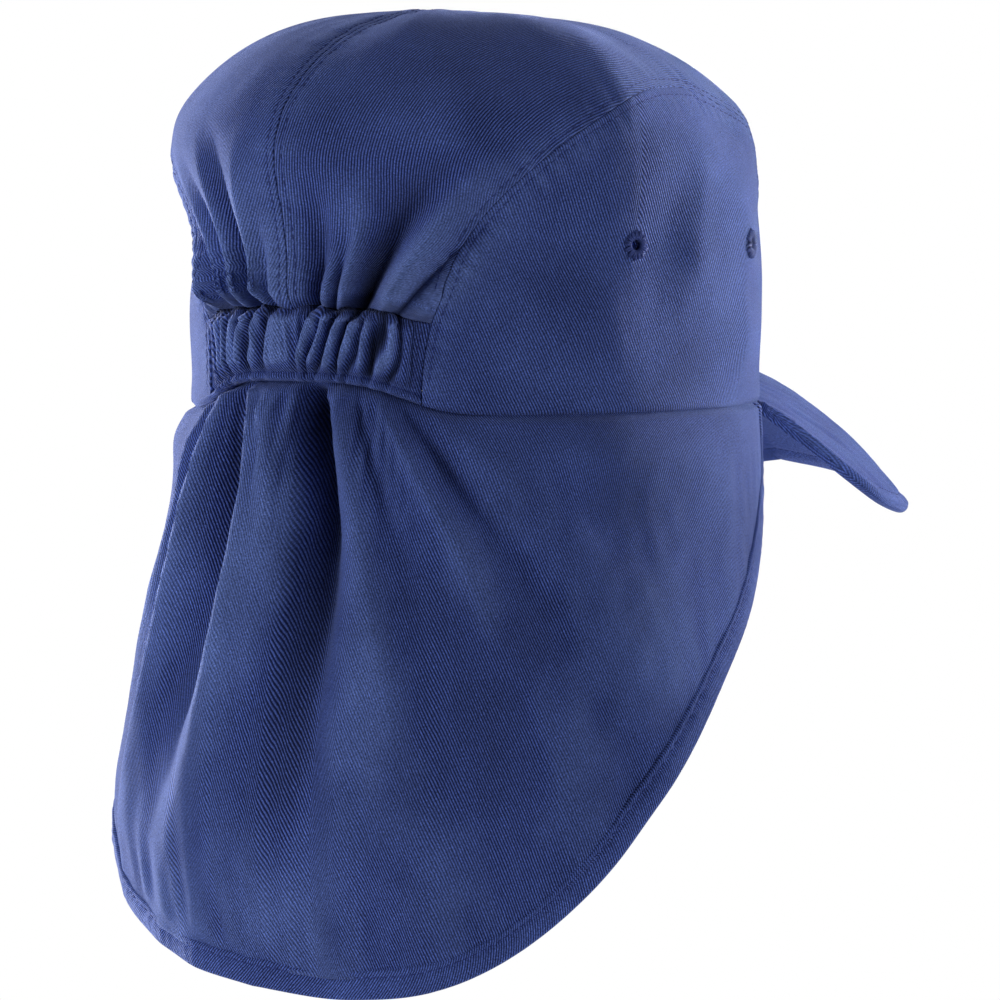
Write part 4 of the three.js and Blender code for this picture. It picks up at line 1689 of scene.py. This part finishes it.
@dataclass
class NeckFlap:
    """The flap's cloth and the binding round its edge.

    Attributes:
        form: Form of the flap.
        tuck: Height of the cloth that is hidden under the rim in mm.
        binding_width: Width of the binding in mm.
        binding_cover: How far it covers the cloth's edge in mm.
        binding_thickness: Thickness of the binding in mm.
        row_at: Distance of its stitch row from the hem in mm.
        stitch: Stitches of the row.
    """

    form: FlapForm
    tuck: float = 4.0
    binding_width: float = 8.5
    binding_cover: float = 2.5
    binding_thickness: float = 2.8
    row_at: float = 6.4
    stitch: StitchRow = StitchRow()

    def relief(self, angle: Array, z: Array, from_hem: Array) -> Array:
        """Small unevenness of the cloth.

        Args:
            angle: Angles round the head in degrees.
            z: Heights below the rim.
            from_hem: Distances in mm from the binding.

        Returns:
            Distances outward in mm.
        """
        u = angle * self.form.crown.mm_per_degree
        calm = smooth(-z, 4, 30)
        large = 0.5 * Ripples((38.0, 70.0), 31).at(u, z)
        small = 0.1 * Ripples((9.0, 16.0), 32).at(u, z)
        pucker = Ripples((8.5, 60.0), 33).at(u, z) * hump(from_hem - 5, 11.0) * smooth(from_hem, 0, 3)
        pucker = pucker * (0.12 + 0.34 * hump(angle + 15, 34.0))
        gathered = 0.5 * Ripples((3.6, 40.0), 34).at(u, z) * hump(angle, 31, 6) * hump(z, 26)
        return (large + small) * calm + pucker + gathered * smooth(-z, 1, 5)

    def cloth_piece(self) -> tuple[Any, float]:
        """Builds the flap's cloth.

        Returns:
            The flap and its area in square metres.
        """
        form = self.form
        margin = self.binding_width - self.binding_cover
        even = np.linspace(-1, 1, 331)
        ways = even * (1.4 - 0.4 * even**2)
        shares = crowded(((0, 0.005), (0.15, 0.0075), (0.9, 0.0095), (1, 0.006)))
        low_angle, low_z = form.inside_hem(ways, margin)
        top = (form.front - margin / form.crown.mm_per_degree) * ways
        angle = lerp(top[None], low_angle[None], shares[:, None])
        z = shares[:, None] * low_z[None]
        angle = np.concatenate([top[None], angle])
        z = np.concatenate([np.full_like(top, self.tuck)[None], z])
        base, normal = form.point(angle, z), form.normal(angle, z)
        from_hem = np.maximum(z - low_z[None] - 3, 0) * 0.8
        uneven = self.relief(angle, z, from_hem)
        outer = base + normal * uneven[..., None]
        inner = outer - normal * form.cloth
        middle_row = len(shares) // 2
        across = steps_along(outer[middle_row : middle_row + 1], 1)
        flat = np.stack([across + 0 * z, steps_along(outer, 0)], -1)
        # Painted light and shade: folds and ripples are painted paler on their crests and darker in their
        # hollows.
        wear_shading = 0.12 * form.fold_relief(angle, -z / form.drop) + 0.5 * uneven
        return cloth_mesh("flap_cloth", outer, inner, flat, wear_shading), grid_area(outer)

    def binding(self) -> Any:
        """Builds the binding: tape folded over the cloth's edge and stitched down near its inner edge.

        Returns:
            The binding.
        """
        form = self.form
        ways = np.linspace(-1, 1, 1101)
        ways = ways * (1.25 - 0.25 * ways**2)
        half = self.binding_thickness / 2
        edge = [(half * 0.9 * (1 - math.cos(t)), half * math.sin(t)) for t in np.radians((30, 60, 90))]
        outside = edge + [(2.6, half + 0.12), (4.2, half + 0.15), (5.4, half), (6.1, half * 0.68),
                          (6.7, half * 0.72), (7.4, half * 0.95), (8.0, half * 0.8), (8.3, half * 0.35)]
        section = [(0.0, 0.0)] + outside + [(x, -y) for x, y in reversed(outside)]
        edge_angle, edge_z = form.inside_hem(ways, 0.0)
        way_mm = steps_along(form.point(edge_angle, edge_z)[None], 1)[0]
        rows = []
        for inward, out in section:
            angle, z = form.inside_hem(ways, inward)
            pucker = 0.08 * Ripples((4.6, 12.0), 41).at(way_mm, inward) * (1 if out > 0 else 0.6)
            lift = out + np.sign(out) * pucker * hump(inward - 5.5, 4.0)
            rows.append(form.point(angle, z) + form.normal(angle, z) * (lift - form.cloth / 2)[:, None])
        grid = np.stack(rows, 1)
        count, sides = grid.shape[:2]
        number = np.arange(count * sides).reshape(count, sides)
        after = np.roll(number, -1, axis=1)
        faces = np.stack([number[:-1], number[1:], after[1:], after[:-1]], -1).reshape(-1, 4)
        inwards = np.array([inward for inward, _ in section])
        flat = np.stack(np.broadcast_arrays(way_mm[:, None], inwards[None]), -1).reshape(-1, 2)
        return make_mesh("flap_tape", grid.reshape(-1, 3), faces, flat, np.zeros(count * sides))

    def rows(self) -> Any:
        """Sews the binding's stitch row.

        Returns:
            The stitches.
        """
        form = self.form
        ways = np.linspace(-0.995, 0.995, 1600)
        angle, z = form.inside_hem(ways, self.row_at)
        normal = form.normal(angle, z)
        lift = self.binding_thickness / 2 * 0.7 - form.cloth / 2
        path = form.point(angle, z) + normal * lift
        return tube_mesh("flap_stitches", self.stitch.tubes(path, normal, 1))

    def build(self, cloth: Any, tape: Any, thread: Any) -> None:
        """Builds and dresses the flap, its binding and its stitches.

        Args:
            cloth: Material of the cloth.
            tape: Material of the binding.
            thread: Material of the thread.
        """
        flap, area = self.cloth_piece()
        place_piece(flap, cloth, ["neck_flap"])
        binding = place_piece(self.binding(), tape, ["flap_binding"])
        rows = place_piece(self.rows(), thread)
        log.info("flap area %.4f m2", area)


# The peak


@dataclass(frozen=True)
class PeakRow:
    """The peak's outline: shares of its half width, reach and fall at a share of the way to its side."""

    way: float
    side: float
    out: float
    fall: float


@dataclass
class Peak:
    """The cloth-covered peak.

    Attributes:
        form: Form of the crown that it is sewn to.
        reach: Distance from the crown to its edge in mm.
        half_width: Half its width in mm.
        fall: Fall of its sides in mm.
        dome: Height of its dome in mm.
        lip: Rise of the dome towards its edge in mm.
        thickness: Thickness in mm.
        piping: Height of the padded band along its edge in mm.
        row_at: Distance of its stitch row from the edge in mm.
        clearance: Gap below the crown's rim in mm.
        stitch: Its stitches.
        rows: Its outline.
    """

    form: CrownForm
    reach: float = 78.0
    half_width: float = 79.0
    fall: float = 36.0
    dome: float = 7.8
    lip: float = 2.2
    thickness: float = 3.4
    piping: float = 0.35
    row_at: float = 6.0
    clearance: float = 0.3
    stitch: StitchRow = StitchRow(pitch=2.4, thread=0.26)
    rows: tuple[PeakRow, ...] = (
        PeakRow(0, 0, 1, 0.62),
        PeakRow(0.25, 0.34, 0.95, 0.73),
        PeakRow(0.5, 0.64, 0.8, 0.94),
        PeakRow(0.7, 0.85, 0.54, 1),
        PeakRow(0.85, 0.96, 0.2, 0.88),
        PeakRow(0.93, 0.97, -0.06, 0.64),
        PeakRow(0.975, 0.9, -0.25, 0.34),
        PeakRow(1, 0.79, -0.4, 0.04),
    )

    def point(self, way: Array, out: Array) -> Array:
        """Points of the peak's top.

        Args:
            way: Shares of the way from the middle to a side, negative on the wearer's left.
            out: Shares of the way from the crown to the edge.

        Returns:
            The points.
        """
        form = self.form
        way, out = np.broadcast_arrays(np.asarray(way, float), np.asarray(out, float))
        directions = form.bare(180 - (180 - form.peak_root) * way, 0.0)
        root = form.point(directions)[0] - form.normal(directions) * form.panel_cloth
        share = np.abs(way)
        x = -np.sign(way) * self.half_width * table_value(self.rows, "way", "side", share)
        y = -form.half_length - self.reach * table_value(self.rows, "way", "out", share)
        z = -self.fall * table_value(self.rows, "way", "fall", share)
        dome = self.dome * np.sin(math.pi * out**0.9) + self.lip * np.sin(math.pi * out**3)
        dome = dome * (1 - share**4)
        return np.stack([lerp(root[..., 0], x, out), lerp(root[..., 1], y, out),
                         lerp(root[..., 2] - self.clearance, z, out) + dome], -1)

    def build(self, cloth: Any, thread: Any) -> None:
        """Builds and dresses the peak and its stitches.

        Args:
            cloth: Material of the cloth.
            thread: Material of the thread.
        """
        crowding = math.pi / 2 * 0.96
        ways = np.sin(np.linspace(-1, 1, 221) * crowding) / math.sin(crowding)
        outs = crowded(((0, 0.012), (0.8, 0.012), (0.95, 0.006), (1, 0.0012)))
        way, out = ways[:, None], outs[None]
        top = self.point(way, out)
        gap = steps_along(top, 1)
        to_edge = gap[:, -1:] - gap
        half = self.thickness / 2
        round_off = np.sqrt(np.clip(1 - (1 - np.clip(to_edge / half, 0, 1)) ** 2, 0, 1))
        dent = -0.3 * hump(to_edge - self.row_at, 0.6)
        piping = self.piping * hump(to_edge - 2.2, 2.6, 4)
        up = unit(np.cross(np.gradient(top, axis=1), np.gradient(top, axis=0)))
        up = np.where(up[..., 2:] < 0, -up, up)
        middle = top - up * half
        wobble = 0.12 * Ripples((7.0, 22.0), 51).at(way * 120, out * 70)
        outside = (half + dent + piping) * round_off
        upper = middle + up * (outside + wobble * round_off)[..., None]
        under = middle - up * outside[..., None]
        heading = unit(np.diff(top, axis=1)[..., :2])
        # The weave goes on round the rounded edge, where the top's own places stand still.
        extra = np.maximum(steps_along(upper, 1) - gap, 0)[:, 1:, None]
        flat = top[..., :2].copy()
        flat[:, 1:] += 1.8 * extra * heading
        # The padded band is painted paler, as rubbing and a painted highlight; the ripples paint slight
        # light and shade.
        piece = cloth_mesh("peak_cover", upper, under, flat, 0.8 * piping + wobble)
        place_piece(piece, cloth, ["peak"])
        tubes = []
        share = np.array([np.interp(self.row_at, line[::-1], outs[::-1]) for line in to_edge])
        sewn = np.flatnonzero(np.abs(ways) < 0.97)
        for sign, surface in ((1, upper), (-1, under)):
            path = np.stack([[np.interp(share[k], outs, surface[k, :, i]) for i in range(3)]
                             for k in sewn])
            normal = np.stack([sign * up[k, np.searchsorted(outs, share[k]) - 1] for k in sewn])
            tubes += self.stitch.tubes(path, normal, 1)
        place_piece(tube_mesh("peak_stitches", tubes), thread)


# The studio


@dataclass(frozen=True)
class Softbox:
    """A softbox that faces the cap.

    Attributes:
        name: Name of the light.
        sideways: Distance to the picture's right in metres.
        forward: Distance towards the camera in metres.
        up: Height above the cap in metres.
        width: Width in metres.
        height: Height in metres.
        power: Power in watts.
        spread: Angle in degrees that a grid leaves open.
        at: Height above the picture's middle that it is turned to, in metres.
    """

    name: str
    sideways: float
    forward: float
    up: float
    width: float
    height: float
    power: float
    spread: float = 180.0
    at: float = 0.0


@dataclass
class Studio:
    """Pale floor and backdrop, soft lights from both sides, above and in front, and the camera.

    Attributes:
        azimuth: Angle of the camera round the cap in degrees.
        elevation: Angle of the camera above the level in degrees.
        distance: Distance of the camera in metres.
        lens: Focal length in mm.
        aim: Point at the picture's middle in metres.
        floor_below: Height of the cap's lowest point above the floor in metres.
        floor_radius: Radius of the floor in mm.
        lights: The softboxes.
    """

    azimuth: float = 214.0
    elevation: float = 3.2
    distance: float = 2.5
    lens: float = 302.4
    aim: tuple[float, float, float] = (-0.0074, -0.0050, -0.029)
    floor_below: float = 0.12
    floor_radius: float = 850.0
    lights: tuple[Softbox, ...] = (
        Softbox("softbox_left", -1.5, 0.6, 0.2, 0.7, 1.2, 19),
        Softbox("edge_left", -1.3, -1.6, 0.1, 0.6, 1.4, 105),
        Softbox("softbox_right", 1.45, 0.65, 0.15, 0.7, 1.0, 9.5),
        Softbox("gridded_right", 1.07, -0.9, 0.2, 0.4, 0.3, 0.7, 10, 0.15),
        Softbox("edge_right", 1.3, -1.0, 0.15, 0.6, 1.0, 11),
        Softbox("front_fill", 1.3, 2.2, 0.45, 1.2, 1.2, 6.6),
        Softbox("overhead", 0.0, 0.0, 1.6, 0.9, 0.9, 2.4),
    )

    @property
    def back(self) -> Vector:
        """Direction from the cap to the camera."""
        a, e = math.radians(self.azimuth), math.radians(self.elevation)
        return Vector((math.sin(a) * math.cos(e), -math.cos(a) * math.cos(e), math.sin(e)))

    @property
    def right(self) -> Vector:
        """Direction to the picture's right."""
        a = math.radians(self.azimuth)
        return Vector((math.cos(a), math.sin(a), 0))

    def hang(self, box: Softbox) -> None:
        """Adds a softbox and turns it to the cap.

        Args:
            box: The softbox.
        """
        light = bpy.data.lights.new(box.name, "AREA")
        light.shape = "RECTANGLE"
        light.size = box.width
        light.size_y = box.height
        light.energy = box.power
        light.spread = math.radians(box.spread)
        obj = bpy.data.objects.new(box.name, light)
        bpy.context.scene.collection.objects.link(obj)
        level = Vector((self.back.x, self.back.y, 0)).normalized()
        obj.location = self.right * box.sideways + level * box.forward + Vector((0, 0, box.up))
        target = Vector(self.aim) + Vector((0, 0, box.at))
        obj.rotation_euler = (obj.location - target).to_track_quat("Z", "Y").to_euler()

    def build(self, paper: Any) -> None:
        """Builds the floor, the backdrop, the lights and the camera.

        Args:
            paper: Material of the floor.
        """
        scene = bpy.context.scene
        low = (CAD_BOX[0][2] - self.floor_below) / MM
        turns = np.arange(96) * math.tau / 96
        rim = np.stack([self.floor_radius * np.cos(turns), self.floor_radius * np.sin(turns),
                        np.full_like(turns, low)], -1)
        floor = linked_mesh("floor", rim, [list(range(len(rim)))])
        floor.data.materials.append(paper)

        world = bpy.data.worlds.new("backdrop")
        world.use_nodes = True
        tree = world.node_tree
        tree.nodes.clear()
        seen = add(tree, "ShaderNodeBackground", {"Color": (1, 1, 1, 1), "Strength": 1.0})
        lit = add(tree, "ShaderNodeBackground", {"Color": linear("eef1fa"), "Strength": 0.03})
        path = add(tree, "ShaderNodeLightPath")
        both = add(tree, "ShaderNodeMixShader", {0: path.outputs["Is Camera Ray"], 1: lit.outputs[0],
                                                 2: seen.outputs[0]})
        add(tree, "ShaderNodeOutputWorld", {"Surface": both.outputs[0]})
        scene.world = world

        for box in self.lights:
            self.hang(box)

        camera = bpy.data.cameras.new("camera")
        camera.lens = self.lens
        camera.sensor_width = 36
        camera.sensor_fit = "HORIZONTAL"
        camera.clip_start = 0.05
        camera.clip_end = 60
        obj = bpy.data.objects.new("camera", camera)
        scene.collection.objects.link(obj)
        obj.location = Vector(self.aim) + self.back * self.distance
        obj.rotation_euler = self.back.to_track_quat("Z", "Y").to_euler()
        scene.camera = obj
        scene.view_settings.view_transform = "Standard"


def main() -> None:
    """Builds the cap and its studio."""
    logging.basicConfig(level=logging.INFO, format="%(name)s: %(message)s")
    cloth = CottonTwill().build()
    tape = CottonTwill(name="binding_twill", rib_angle=52.0, rib=0.7, relief=0.12).build()
    thread = SewingThread().build()
    form = CrownForm()
    eyelets = Eyelets(form)
    CrownPanels(form).build(cloth, thread, eyelets.holes(), eyelets.barrel / 2)
    eyelets.build(SewingThread(name="eyelet_thread", dye="36447f").build())
    ElasticCasing(form).build(cloth, thread)
    NeckFlap(FlapForm(form)).build(cloth, tape, thread)
    # Pressed over its stiffener, the peak's cloth has flatter, finer ribs.
    pressed = CottonTwill(name="peak_twill", shade="222e66", rib=0.6, relief=0.08)
    Peak(form).build(pressed.build(), thread)
    Studio().build(StudioPaper().build())


if __name__ == "__main__":
    main()
